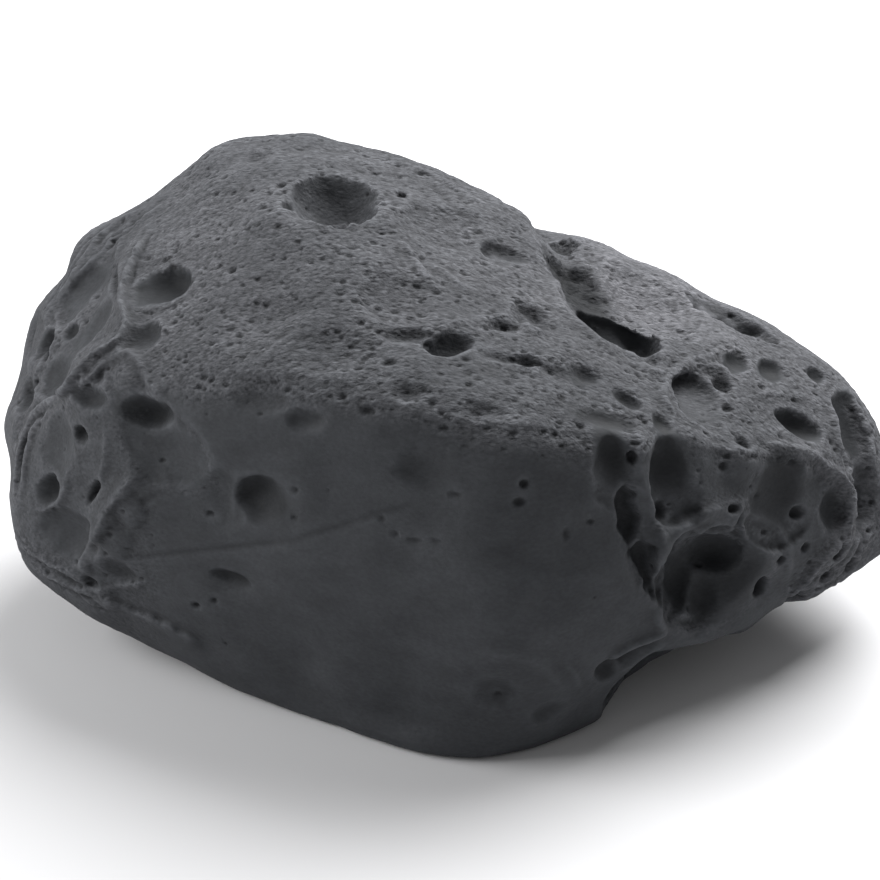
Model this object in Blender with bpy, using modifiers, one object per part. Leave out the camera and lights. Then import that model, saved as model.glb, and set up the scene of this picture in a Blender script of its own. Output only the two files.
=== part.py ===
"""A river rock: one dark, pitted volcanic stone, worn round by water, lying on its flat underside.

Run it with: blender --background --python part.py

The stone is made as nature made it. A block spanned by the corners of the broken stone is worn round
and swells a little; then ridges are left standing on it and hollows are eaten into it; then it is
softened, and its underside is planed flat where it lies on the ground.

Every driving dimension is a real size in millimetres. X runs along the stone's length, Y from its front
wall to its back, and Z is up. The object's origin is on the ground, under the middle of its bounding box.
"""

from math import radians

import bmesh
import bpy
from mathutils import Matrix, Vector
from mathutils.bvhtree import BVHTree
from mathutils.noise import noise

MM = 0.001

# ---------------------------------------------------------------------------
# The block: corners of the broken stone, from the ground up
# ---------------------------------------------------------------------------

UNDERSIDE = [(-87, -27, -4), (-59, -45, -4), (-30, -65, -4), (10, -80, -4), (30, -77, -4), (43, -64, -4),
             (52, -32, -4), (58, 10, -4), (40, 60, -4), (-20, 76, -4), (-80, 60, -4), (-106, 20, -4)]
LOW_BELT = [(-147, -9, 26), (-134, -18, 21), (-105, -28, 20), (70, -47, 31), (98, -43, 31), (124, -22, 30),
            (152, -9, 27), (163, 4, 33), (140, 45, 32), (80, 85, 22), (0, 98, 20), (-80, 88, 20),
            (-135, 50, 28)]
WAIST = [(-155, 22, 66), (-147, -4, 48), (-112, -34, 60), (-48, -62, 60), (20, -88, 55), (45, -82, 50),
         (75, -64, 60), (110, -44, 60), (146, -14, 58), (164, 17, 52), (150, 50, 55), (90, 95, 60),
         (0, 110, 65), (-85, 102, 65), (-142, 72, 62)]
SHOULDER = [(-118, -22, 104), (-80, -38, 118), (-48, -54, 124), (0, -72, 124), (20, -76, 122), (50, -66, 112),
            (72, -56, 98), (110, -34, 80), (142, -6, 78), (-147, 47, 85), (-140, 60, 105), (138, 55, 78),
            (95, 85, 90), (20, 105, 105), (-50, 108, 120), (-108, 90, 110)]
CROWN = [(-120, 71, 126), (-95, 78, 140), (-78, 87, 151), (-60, 90, 155), (-45, 87, 155), (-20, 78, 150),
         (4, 58, 147), (20, 36, 143), (-50, 20, 156), (-20, 10, 151), (-90, 30, 140)]
RIGHT_SLOPE = [(67, 50, 119), (94, 44, 108), (120, 36, 97), (140, 20, 88), (154, 17, 73)]

# Wear: the grid on which the block is smoothed, how often, and how far each pass moves a point
# towards its neighbours.
BLOCK_GRID = 5
WEAR_PASSES = 11
WEAR_SHARE = 0.5

# Swells of the worn surface: size of one swell and the height between its top and its foot.
SWELLS = {"broad_swells": (55, 5.0), "lumps": (20, 2.6)}
SWELL_MIDDLE = 0.5

# ---------------------------------------------------------------------------
# Ridges and grooves: a path over the stone, the width there and the height or depth
# ---------------------------------------------------------------------------

RIDGE_LINES = {
    "flank_crest": ([(-104, 40, 131), (-107, 27, 124), (-106, 12, 122), (-103, -5, 119), (-109, -10, 114),
                     (-115, -15, 107), (-124, -12, 96)], 10, 3.0),
    "flank_crest_low": ([(-139, 44, 102), (-139, 17, 78), (-145, 8, 70), (-145, -4, 62)], 8, 2.0),
    "corner_crest": ([(-95, -38, 84), (-103, -36, 78), (-109, -35, 69), (-114, -33, 59), (-119, -29, 47),
                      (-121, -26, 38)], 9, 2.5),
    "cave_arch": ([(73, -58, 62), (76, -56, 74), (86, -50, 78), (98, -48, 76), (106, -46, 68)], 9, 2.5),
    "cave_post": ([(67, -62, 84), (70, -63, 70), (70, -65, 56), (71, -64, 42)], 8, 2.5),
    "end_crest": ([(121, -22, 84), (131, -18, 76), (137, -18, 66), (137, -21, 55), (134, -24, 47),
                   (124, -31, 41)], 10, 2.5),
    "back_crest": ([(60, 88, 98), (52, 98, 76), (58, 98, 52), (50, 92, 30)], 12, 3.0),
}
GROOVE_LINES = {
    "flank_trough": ([(-118, 46, 124), (-119, 30, 114), (-122, 14, 106), (-128, 4, 96)], 24, 3.5),
    "corner_trough": ([(-116, -24, 84), (-122, -24, 66), (-127, -22, 52), (-132, -20, 42)], 22, 2.5),
    "wall_gutter": ([(58, -67, 94), (61, -67, 84), (63, -66, 70), (66, -66, 58)], 10, 4.5),
    "end_groove": ([(136, 9, 86), (142, 2, 76), (146, -8, 64), (149, -10, 50), (148, -10, 42)], 13, 5.0),
    "foot_step": ([(50, -74, 30), (60, -68, 31), (70, -62, 30)], 9, 2.5),
    "back_gully": ([(-20, 96, 128), (-28, 104, 104), (-22, 106, 80), (-30, 104, 56)], 26, 5.0),
}
# Each end thins out over the taper's length, by a share of the height or depth.
END_TAPER = 12
END_SHARE = 0.45
PATH_STEP = 6
WELD = 0.01

# ---------------------------------------------------------------------------
# Hollows: the middle of the mouth on the stone, its length and width, its depth, its turn in degrees
# from the X direction, and its dish: 0 is a steep rim, 0.7 a shallow saucer
# ---------------------------------------------------------------------------

HOLLOWS = {
    "crown_crater": ((-36, 24, 155), 31, 30, 15, 0, 0.15),
    "shoulder_dimple": ((-91, 6, 130), 21, 15, 6, -15, 0.5),
    "almond_pit": ((4, -41, 134), 19, 15, 10, 20, 0.1),
    "cleft_hole": ((58, -3, 120), 41, 16, 18, -37, 0.1),
    "cleft_channel": ((45, 24, 133), 44, 17, 7, -75, 0.4),
    "valley": ((46, 44, 130), 90, 38, 9, -75, 0.7),
    "skyline_dip": ((36, 70, 134), 40, 46, 14, 0, 0.5),
    "top_groove": ((21, 12, 140), 20, 8, 4, -5, 0.4),
    "valley_dimple": ((34, -15, 129), 20, 12, 3, -30, 0.6),
    "front_dimple": ((44, -38, 120), 16, 10, 4, 15, 0.6),
    "ledge_hollow": ((83, -17, 105), 32, 22, 8, 25, 0.4),
    "slope_pit_near": ((96, -1, 104), 10, 12, 5, 0, 0.3),
    "slope_pit_far": ((111, 6, 98), 9, 9, 5, 0, 0.3),
    "slope_groove": ((100, 32, 106), 30, 9, 5, -45, 0.3),
    "shoulder_pit": ((116, -12, 91), 18, 12, 7, 0, 0.3),
    "wall_hollow_left": ((56, -62, 107), 14, 18, 5, -60, 0.5),
    "wall_hollow_right": ((76, -51, 99), 20, 18, 6, 0, 0.5),
    "cave": ((84, -57, 57), 33, 40, 20, 0, 0.05),
    "keyhole": ((70, -60, 84), 8, 9, 7, 0, 0.0),
    "round_pit": ((107, -39, 41), 8, 9, 7, 0, 0.0),
    "wall_pit": ((-58, -53, 85), 22, 18, 9, 0, 0.4),
    "brow_hollow": ((-94, -33, 104), 24, 14, 7, 10, 0.35),
    "wall_slot": ((-67, -51, 52), 14, 6, 4, 0, 0.3),
    "flank_pit_low": ((-133, -14, 63), 10, 13, 5, 0, 0.3),
    "flank_pit_high": ((-139, 40, 94), 11, 20, 6, 20, 0.3),
    "flank_pit_left": ((-144, 25, 81), 11, 16, 5, 40, 0.4),
    "foot_notch": ((80, -52, 12), 60, 42, 21, 0, 0.3),
    "end_notch": ((121, -25, 26), 9, 12, 5, 0, 0.3),
    "back_crater": ((-78, 98, 92), 32, 26, 11, 15, 0.2),
    "back_pit_high": ((12, 100, 104), 22, 16, 8, -30, 0.3),
    "back_pit_low": ((24, 104, 46), 15, 12, 7, 0, 0.2),
    "back_slot": ((-48, 104, 44), 30, 9, 6, 12, 0.2),
    "back_saucer": ((98, 84, 72), 34, 28, 6, 0, 0.5),
    "end_pit": ((158, 34, 62), 16, 14, 7, 0, 0.3),
    "left_saucer": ((-146, 58, 48), 26, 20, 6, 0, 0.4),
    "crown_pit": ((-64, 62, 154), 12, 9, 4, 0, 0.3),
}
# The pebble-shaped cutters: rings of facets, how uneven they are, and the grain of the unevenness.
CUTTER_DETAIL = 2
CUTTER_WOBBLE = 0.12
WOBBLE_GRAIN = 1.6

# ---------------------------------------------------------------------------
# The finished surface, the ground and the colour
# ---------------------------------------------------------------------------

STONE_GRID = 2.6
SOFTEN_PASSES = 2
KEPT_FACES = 0.15

GROUND_SIZE = (500, 400, 100)

STONE_COLOUR = (0.062, 0.064, 0.070)
STONE_ROUGHNESS = 0.85


def clear_scene():
    for old in list(bpy.data.objects):
        bpy.data.objects.remove(old)


def new_collection(name, in_render=True):
    made = bpy.data.collections.new(name)
    bpy.context.scene.collection.children.link(made)
    made.hide_render = not in_render
    return made


def add_object(name, data, collection):
    made = bpy.data.objects.new(name, data)
    collection.objects.link(made)
    return made


def add_cutter(name, data, collection):
    made = add_object(name, data, collection)
    made.display_type = "WIRE"
    made.hide_render = True
    return made


def mesh_after_modifiers(obj):
    """The object's mesh as the viewport shows it, as a plain mesh of its own."""
    graph = bpy.context.evaluated_depsgraph_get()
    return bpy.data.meshes.new_from_object(obj.evaluated_get(graph), depsgraph=graph)


def rough_block(collection):
    """The convex block that the corners span."""
    block = bmesh.new()
    for corner in UNDERSIDE + LOW_BELT + WAIST + SHOULDER + CROWN + RIGHT_SLOPE:
        block.verts.new(Vector(corner) * MM)
    hull = bmesh.ops.convex_hull(block, input=block.verts)
    bmesh.ops.delete(block, geom=hull["geom_interior"], context="VERTS")
    mesh = bpy.data.meshes.new("rough_block")
    block.to_mesh(mesh)
    block.free()
    return add_object("rough_block", mesh, collection)


def add_remesh(obj, grid):
    step = obj.modifiers.new("grid", "REMESH")
    step.mode = "VOXEL"
    step.voxel_size = grid * MM
    step.use_smooth_shade = True


def add_smooth(obj, passes):
    step = obj.modifiers.new("wear", "SMOOTH")
    step.factor = WEAR_SHARE
    step.iterations = passes


def add_swells(obj):
    """Swells of the surface: clouds of noise, each with its own grain."""
    for name, (size, height) in SWELLS.items():
        clouds = bpy.data.textures.new(name, "CLOUDS")
        clouds.noise_scale = size * MM
        step = obj.modifiers.new(name, "DISPLACE")
        step.texture = clouds
        step.texture_coords = "LOCAL"
        step.mid_level = SWELL_MIDDLE
        step.strength = height * MM


def spot_on(surface, point):
    """The nearest place on the surface, and the direction straight out of it there."""
    place, out, _, _ = surface.find_nearest(Vector(point) * MM)
    return place, out


def frame_on(surface, point, turn):
    """A matrix on the surface: X along the stone turned by `turn`, Z straight out."""
    place, out = spot_on(surface, point)
    along = (Vector((1, 0, 0)) - out * out.x).normalized()
    axes = Matrix((along, out.cross(along), out)).transposed()
    return Matrix.Translation(place) @ axes.to_4x4() @ Matrix.Rotation(radians(turn), 4, "Z")


def pebble(name, collection, frame, length, width, depth, dish):
    """An uneven ellipsoid that meets the surface in an outline of length by width and reaches `depth` in."""
    spread = (1 - dish ** 2) ** 0.5
    height = depth / (1 - dish)
    half = Vector((length / 2 / spread, width / 2 / spread, height)) * MM
    ball = bmesh.new()
    bmesh.ops.create_icosphere(ball, subdivisions=CUTTER_DETAIL, radius=1)
    for vertex in ball.verts:
        uneven = 1 + CUTTER_WOBBLE * noise(vertex.co * WOBBLE_GRAIN + frame.translation / MM)
        vertex.co = vertex.co * half * uneven
        vertex.co.z += height * dish * MM
    mesh = bpy.data.meshes.new(name)
    ball.to_mesh(mesh)
    ball.free()
    made = add_cutter(name, mesh, collection)
    made.matrix_world = frame


def path_on(surface, points):
    """Places along the straight legs between the points, all laid on the surface, with the way out of it."""
    spots = []
    for start, end in zip(points, points[1:]):
        leg = Vector(end) - Vector(start)
        steps = max(1, round(leg.length / PATH_STEP))
        spots += [spot_on(surface, Vector(start) + leg * (i / steps)) for i in range(steps)]
    return spots + [spot_on(surface, points[-1])]


def stroke(name, collection, surface, points, width, height, side):
    """A round rod along a path, sunk under the surface (side -1) or held above it (side 1).

    It stands `height` through the surface in a strip of the given width, and thins out towards its ends.
    """
    radius = (width ** 2 / 4 + height ** 2) / (2 * height)
    spots = path_on(surface, points)
    lengths = [0.0]
    for (before, _), (after, _) in zip(spots, spots[1:]):
        lengths.append(lengths[-1] + (after - before).length / MM)
    curve = bpy.data.curves.new(name, "CURVE")
    curve.dimensions = "3D"
    curve.bevel_depth = radius * MM
    curve.bevel_resolution = 2
    curve.use_fill_caps = True
    spline = curve.splines.new("POLY")
    spline.points.add(len(spots) - 1)
    for knot, (place, out), length in zip(spline.points, spots, lengths):
        to_end = min(length, lengths[-1] - length)
        shrink = END_SHARE * max(0.0, 1 - to_end / END_TAPER) * height / radius
        knot.co = (*(place + out * side * (radius - height) * MM), 1)
        knot.radius = 1 - shrink
    rod = add_object(name, curve, collection)
    mesh = mesh_after_modifiers(rod)
    bpy.data.objects.remove(rod)
    welded = bmesh.new()
    welded.from_mesh(mesh)
    bmesh.ops.remove_doubles(welded, verts=welded.verts, dist=WELD * MM)
    welded.to_mesh(mesh)
    welded.free()
    add_cutter(name, mesh, collection)


def add_boolean(obj, operation, collection):
    step = obj.modifiers.new(collection.name, "BOOLEAN")
    step.operation = operation
    step.operand_type = "COLLECTION"
    step.collection = collection


def ground_slab(collection):
    """Everything below the ground, which planes the underside flat."""
    below = Matrix.Translation((0, 0, -GROUND_SIZE[2] / 2 * MM))
    slab = bmesh.new()
    bmesh.ops.create_cube(slab, size=MM, matrix=below @ Matrix.Diagonal((*GROUND_SIZE, 1)))
    mesh = bpy.data.meshes.new("ground")
    slab.to_mesh(mesh)
    slab.free()
    add_cutter("ground", mesh, collection)


def stone_material():
    made = bpy.data.materials.new("volcanic_stone")
    made.use_nodes = True
    shader = made.node_tree.nodes["Principled BSDF"]
    shader.inputs["Base Color"].default_value = (*STONE_COLOUR, 1)
    shader.inputs["Roughness"].default_value = STONE_ROUGHNESS
    shader.inputs["Metallic"].default_value = 0.0
    return made


def worn_stone(collection):
    """The block, worn round as rolling in a river does, with its swells."""
    block = rough_block(collection)
    add_remesh(block, BLOCK_GRID)
    add_smooth(block, WEAR_PASSES)
    add_swells(block)
    mesh = mesh_after_modifiers(block)
    bpy.data.objects.remove(block)
    mesh.name = "rock"
    return add_object("rock", mesh, collection)


def surface_of(obj):
    work = bmesh.new()
    work.from_mesh(obj.data)
    surface = BVHTree.FromBMesh(work)
    work.free()
    return surface


def centre_on_origin(rock, others):
    """Hangs everything on an empty, and moves it so that the middle of the stone is over the origin."""
    mesh = mesh_after_modifiers(rock)
    along = [vertex.co.x for vertex in mesh.vertices]
    across = [vertex.co.y for vertex in mesh.vertices]
    bpy.data.meshes.remove(mesh)
    place = add_object("place", None, bpy.context.scene.collection)
    for obj in [rock, *others]:
        obj.parent = place
    place.location = (-(min(along) + max(along)) / 2, -(min(across) + max(across)) / 2, 0)


def main():
    clear_scene()
    stone = new_collection("river_rock")
    ridges = new_collection("ridges", in_render=False)
    hollows = new_collection("hollows", in_render=False)
    ground = new_collection("ground", in_render=False)

    rock = worn_stone(stone)
    rock.data.materials.append(stone_material())
    surface = surface_of(rock)
    for name, (points, width, height) in RIDGE_LINES.items():
        stroke(name, ridges, surface, points, width, height, -1)
    for name, (points, width, depth) in GROOVE_LINES.items():
        stroke(name, hollows, surface, points, width, depth, 1)
    for name, (point, length, width, depth, turn, dish) in HOLLOWS.items():
        pebble(name, hollows, frame_on(surface, point, turn), length, width, depth, dish)
    ground_slab(ground)

    add_boolean(rock, "UNION", ridges)
    add_boolean(rock, "DIFFERENCE", hollows)
    add_remesh(rock, STONE_GRID)
    add_smooth(rock, SOFTEN_PASSES)
    thin = rock.modifiers.new("thin", "DECIMATE")
    thin.ratio = KEPT_FACES
    add_boolean(rock, "DIFFERENCE", ground)
    centre_on_origin(rock, [*ridges.objects, *hollows.objects, *ground.objects])


main()
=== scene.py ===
# %% [markdown]
# # A river rock
#
# One volcanic stone, dark blue-grey, full of old gas bubbles, and worn round by a river. The solid frame
# gives its block, its big hollows and its ridges. This lesson gives it a skin: the frame's mesh is laid out
# afresh on a fine grid, its hollows get sharp mouths and deep floors, creases and crests are drawn along the
# flank, pores are scattered by Geometry Nodes, and one procedural material makes the dust and the grain, and
# paints light and shade into the colour.
#
# Sizes are in millimetres, times `MM`. X runs along the stone, Y to its back, Z up.

# %% Load the frame
import math
import time

import bmesh
import bpy
import numpy as np
from mathutils import Matrix, Vector, noise
from mathutils.bvhtree import BVHTree


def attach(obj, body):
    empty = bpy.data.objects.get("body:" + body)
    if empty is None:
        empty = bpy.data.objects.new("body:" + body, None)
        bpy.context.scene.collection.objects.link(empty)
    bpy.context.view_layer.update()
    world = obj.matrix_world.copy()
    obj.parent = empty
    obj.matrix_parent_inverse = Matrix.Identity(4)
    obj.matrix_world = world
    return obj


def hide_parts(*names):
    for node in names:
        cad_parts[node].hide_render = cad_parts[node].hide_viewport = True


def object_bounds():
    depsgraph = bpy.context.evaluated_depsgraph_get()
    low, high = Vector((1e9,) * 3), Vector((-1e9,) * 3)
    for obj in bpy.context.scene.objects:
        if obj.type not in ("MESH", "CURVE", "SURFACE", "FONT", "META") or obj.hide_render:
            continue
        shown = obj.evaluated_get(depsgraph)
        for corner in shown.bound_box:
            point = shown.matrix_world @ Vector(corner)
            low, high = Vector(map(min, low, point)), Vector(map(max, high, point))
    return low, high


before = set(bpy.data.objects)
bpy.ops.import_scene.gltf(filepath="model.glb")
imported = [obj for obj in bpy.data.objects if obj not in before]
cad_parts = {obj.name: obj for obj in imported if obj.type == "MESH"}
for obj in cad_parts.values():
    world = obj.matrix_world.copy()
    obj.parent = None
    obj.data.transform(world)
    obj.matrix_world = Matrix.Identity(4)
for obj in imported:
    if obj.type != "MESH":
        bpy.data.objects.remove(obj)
CAD_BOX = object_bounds()
MM = 0.001
STARTED = time.time()


def tell(*words):
    """Prints what was made, and how many seconds the lesson has run."""
    print(*words, "after", round(time.time() - STARTED, 1), "s")


tell("the frame's box, mm:", [[round(v / MM, 1) for v in corner] for corner in CAD_BOX])

# %% [markdown]
# ## The camera
#
# The camera comes first, because many places on the stone are given as the camera sees them: a spot is a
# pixel of its square view, and the line of sight through that pixel meets the stone. The lens is a long one,
# from three quarters of a metre away and 30 degrees above, so the stone's lines hardly run together. The
# sides that lie away from the camera are reached by level lines of sight, and the top by an upright one.

# %% Camera and lines of sight
VIEW_PIXELS = 880
AIM = Vector((-3.4, -11.7, 75.0)) * MM
DISTANCE = 750 * MM
LOOK_DOWN = math.radians(30)
LENS = 90
SENSOR = 36


def placed(name, data):
    """A new object, put into the scene."""
    made = bpy.data.objects.new(name, data)
    bpy.context.scene.collection.objects.link(made)
    return made


BACK = Vector((0, -math.cos(LOOK_DOWN), math.sin(LOOK_DOWN)))
camera = placed("camera", bpy.data.cameras.new("camera"))
camera.data.lens = LENS
camera.data.sensor_width = SENSOR
camera.location = AIM + BACK * DISTANCE
camera.rotation_mode = "QUATERNION"
camera.rotation_quaternion = (-BACK).to_track_quat("-Z", "Y")
bpy.context.scene.camera = camera


def sight(pixel):
    """The line of sight through a pixel of the camera's view: where it starts and where it points."""
    reach = SENSOR / 2 / LENS
    right = (pixel[0] - VIEW_PIXELS / 2) / (VIEW_PIXELS / 2) * reach
    up = (VIEW_PIXELS / 2 - pixel[1]) / (VIEW_PIXELS / 2) * reach
    upward = Vector((0, math.sin(LOOK_DOWN), math.cos(LOOK_DOWN)))
    return camera.location.copy(), (Vector((right, 0, 0)) + upward * up - BACK).normalized()


# Each side: the way its line of sight points, and the two axes that a place is given on.
SIDES = {
    "back": ((0, -1, 0), (0, 2)),
    "left": ((1, 0, 0), (1, 2)),
    "right": ((-1, 0, 0), (1, 2)),
    "top": ((0, 0, -1), (0, 1)),
}


def from_side(side, place):
    """A straight line of sight from one side, at two coordinates in mm: (x, z), (y, z) or (x, y)."""
    towards, axes = SIDES[side]
    spot = Vector((0, 0, 0))
    spot[axes[0]], spot[axes[1]] = place[0] * MM, place[1] * MM
    return spot - Vector(towards), Vector(towards)


tell("camera at, mm:", [round(v / MM) for v in camera.location])

# %% [markdown]
# ## A skin on a fine grid
#
# The frame's mesh has few, large, flat faces. A voxel remesh lays an even grid of small faces over it, and a
# smoothing wears away the edges of the old faces. The result is a cloud of points that code can move: the
# class keeps the points and the ways out of the surface as arrays, so that one line moves thousands of them.

# %% The skin
SKIN_GRID = 1.1
SKIN_PASSES = 14
CUT_GRID = 0.9
CUT_PASSES = 2


def with_modifiers(mesh, *steps):
    """The mesh after the modifiers, each given as its kind and its settings."""
    holder = placed("holder", mesh)
    for kind, settings in steps:
        step = holder.modifiers.new(kind, kind)
        for name, value in settings.items():
            setattr(step, name, value)
    graph = bpy.context.evaluated_depsgraph_get()
    made = bpy.data.meshes.new_from_object(holder.evaluated_get(graph), depsgraph=graph)
    bpy.data.objects.remove(holder)
    return made


class Skin:
    """A mesh as arrays: its points, its triangles and the way out of the surface at each point."""

    def __init__(self, mesh):
        self.mesh = mesh
        mesh.calc_loop_triangles()
        self.points = np.empty((len(mesh.vertices), 3), np.float32)
        mesh.vertices.foreach_get("co", self.points.ravel())
        self.triangles = np.empty((len(mesh.loop_triangles), 3), np.int32)
        mesh.loop_triangles.foreach_get("vertices", self.triangles.ravel())
        self.marks = {}
        self.settle()

    def settle(self):
        """Works out the ways out of the moved surface, and the tree that lines of sight are tested on."""
        a, b, c = (self.points[self.triangles[:, i]] for i in range(3))
        face = np.cross(b - a, c - a)
        out = np.zeros_like(self.points)
        for i in range(3):
            np.add.at(out, self.triangles[:, i], face)
        self.out = out / np.maximum(np.linalg.norm(out, axis=1, keepdims=True), 1e-12)
        self.tree = BVHTree.FromPolygons(self.points.tolist(), self.triangles.tolist())

    def mark(self, name):
        """A number at each point, 0 until it is set, such as how rough the stone is there."""
        if name not in self.marks:
            self.marks[name] = np.zeros(len(self.points), np.float32)
        return self.marks[name]

    def blend(self, name, where, value, share):
        """Moves a mark at some of the points towards a value, by a share of the way."""
        mark = self.mark(name)
        mark[where] += (value - mark[where]) * share

    def as_mesh(self):
        """The mesh, with its points moved to where the arrays have them."""
        self.mesh.vertices.foreach_set("co", self.points.ravel())
        self.mesh.update()
        return self.mesh


def frame_skin(node):
    """The frame's node as a skin, with its shared corners merged."""
    loose = bmesh.new()
    loose.from_mesh(bpy.data.objects[node].data)
    bmesh.ops.remove_doubles(loose, verts=loose.verts, dist=0.001 * MM)
    mesh = bpy.data.meshes.new("skin")
    loose.to_mesh(mesh)
    loose.free()
    return Skin(mesh)


def edge_ends(mesh):
    """The two ends of every edge, as two arrays."""
    ends = np.empty(2 * len(mesh.edges), np.int32)
    mesh.edges.foreach_get("vertices", ends)
    return ends.reshape(-1, 2).T


def drop_pockets(mesh):
    """Keeps the largest connected piece: a remesh can leave closed pockets inside the stone."""
    a, b = edge_ends(mesh)
    piece = np.arange(len(mesh.vertices))
    spread = None
    while not np.array_equal(piece, spread):
        spread = piece.copy()
        lower = np.minimum(piece[a], piece[b])
        np.minimum.at(piece, a, lower)
        np.minimum.at(piece, b, lower)
        piece = piece[piece]
    loose = bmesh.new()
    loose.from_mesh(mesh)
    loose.verts.ensure_lookup_table()
    pockets = np.flatnonzero(piece != np.bincount(piece).argmax())
    bmesh.ops.delete(loose, geom=[loose.verts[i] for i in pockets], context="VERTS")
    loose.to_mesh(mesh)
    loose.free()
    return len(pockets)


def relaid(old, grid, passes):
    """The same surface on a new, even grid, smoothed a few times, with its marks."""
    mesh = with_modifiers(old.as_mesh(), ("REMESH", dict(mode="VOXEL", voxel_size=grid * MM)),
                          ("SMOOTH", dict(factor=0.5, iterations=passes)))
    dropped = drop_pockets(mesh)
    new = Skin(mesh)
    if old.marks:
        corner = old.triangles[:, 0]
        nearest = corner[[old.tree.find_nearest(spot)[2] for spot in new.points.tolist()]]
        new.marks = {name: values[nearest] for name, values in old.marks.items()}
    tell("skin:", len(new.points), "points,", dropped, "dropped")
    return new


skin = relaid(frame_skin("rock"), SKIN_GRID, SKIN_PASSES)

# %% [markdown]
# ## How a hollow is cut
#
# A gas bubble that the river has opened is a bowl with a mouth. To cut one, the code first finds the mouth's
# seat: it looks only at the ring of stone around the mouth, so a hollow that is there already is bridged by
# the curved surface that fits the ring. Then it pushes every point under the mouth down to the bowl's floor,
# and leaves alone what lies deeper. A negative depth raises a lump instead.
#
# - `turn` turns the mouth from the stone's length, in degrees, and `rim` rounds its edge, in mm.
# - `steep` is the floor's shape: 2 is a dish, 4 a pot with a flat floor.
# - `tilt` makes one side deeper, and `lean` lets one wall hang over.
# - `uneven` bends the mouth's outline by noise, because no bubble is a perfect ellipse.
# - `facing` says which way the mouth looks, where the stone round it is too broken to tell.
# - Inside the hollow, `rough` says how grainy its crust is, and the painted shade darkens its colour.

# %% Seats
# The ring begins and ends in the mouth's own measure, which is 0 at its middle and 1 at its edge. It takes
# in the stone that lies near the mouth's level and faces the same way.
SMALLEST_RING = 5.0
RING_FROM = 1.08
RING_TO = 1.55
RING_LEVEL = 0.6
RING_FACING = 0.3
RING_POINTS = 12
SEAT_ROUNDS = 5
STIFFNESS = 0.05
CURVED_UP_TO = 1.6
FLATTEST_SIGHT = -0.2


def axes_at(out, turn):
    """The directions along, across and out of a mouth, turned from the stone's length by so many degrees."""
    along = (Vector((1, 0, 0)) - out * out.x).normalized()
    along = Matrix.Rotation(math.radians(turn), 3, out) @ along
    return np.array([along, out.cross(along), out], np.float32)


def terms(u, v, length, width):
    """What a curved surface over the mouth is made of, at places in the mouth's own measure."""
    u, v = 2 * u / length, 2 * v / width
    far = np.maximum(np.hypot(u, v) / CURVED_UP_TO, 1)
    u, v = u / far, v / far
    return np.stack([np.ones_like(u), u, v, u * u, u * v, v * v], axis=-1)


def seat(line, length, width, turn):
    """Where a line of sight meets the closed-over stone: the place, the axes there, the curved surface and
    how far the place stands above the flat plane through the ring."""
    start, towards = line
    seen, out, _, _ = skin.tree.ray_cast(start, towards)
    place = np.array(seen, np.float32)
    towards = np.array(towards, np.float32)
    span_u, span_v = max(length, SMALLEST_RING * MM), max(width, SMALLEST_RING * MM)
    curve, sag = np.zeros(6, np.float32), 0.0
    for _ in range(SEAT_ROUNDS):
        axes = axes_at(out, turn)
        rel = (skin.points - place) @ axes.T
        rho = np.hypot(2 * rel[:, 0] / span_u, 2 * rel[:, 1] / span_v)
        near_level = np.abs(rel[:, 2]) < RING_LEVEL * max(span_u, span_v)
        ring = (rho > RING_FROM) & (rho < RING_TO) & near_level
        ring = np.flatnonzero(ring & (skin.out @ axes[2] > RING_FACING))
        if len(ring) < RING_POINTS:
            break
        level = terms(rel[ring, 0], rel[ring, 1], span_u, span_v)
        stiff = np.diag([0, 0, 0, 1, 1, 1]) * len(ring) * STIFFNESS
        curve = np.linalg.solve(level.T @ level + stiff, level.T @ rel[ring, 2]).astype(np.float32)
        plane = np.linalg.lstsq(level[:, :3], rel[ring, 2], rcond=None)[0]
        sag = curve[0] - plane[0]
        out = Vector(skin.out[ring].mean(axis=0)).normalized()
        place = place + towards * (curve[0] / min(float(towards @ axes[2]), FLATTEST_SIGHT))
    return place, axes, curve, sag


# %% Carving
MOUTH_GRAIN = 9.0
MOUTH_SHIFT = Vector((3.1, 7.7, 1.3))
CHIP_GRAIN = 3.2
CHIP_SHIFT = Vector((6.4, 2.9, 5.8))
RIM_ROUGH = 0.5
LID_SHARE = 0.54
# How far from the mouth the cut and its marks reach or fade, in the mouth's own measure.
MOUTH_REACH = 1.5
LUMP_FADE = (0.85, 1.15)
ROUGH_FADE = (0.97, 1.03)
RIM_FADE = (1.05, 1.25)
# The painted shade of a hollow fades out between these.
PAINTED_SHADE_FADE = (0.55, 1.05)
# What lies under the mouth: how near to its level, as a share of its size, and how far it may face away.
MOUTH_LEVEL = 0.7
MOUTH_FACING = -0.3
# The least and the most that a tilt makes of the depth.
TILT_LIMITS = (0.15, 3)
CHIP_SHARE = 0.5


def ease(value, low, high):
    """0 below low, 1 above high, with a soft passage between them."""
    share = np.clip((value - low) / (high - low), 0, 1)
    return share * share * (3 - 2 * share)


def bend(spots, grain, shift):
    """Soft noise between -1 and 1 at each spot."""
    return np.array([noise.noise(Vector(spot) / (grain * MM) + shift) for spot in spots], np.float32)


def soft_min(a, b, radius):
    """The lower of two heights, with the corner between them rounded."""
    near = np.maximum(radius - np.abs(a - b), 0) / radius
    return np.minimum(a, b) - near * near * radius / 4


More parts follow.
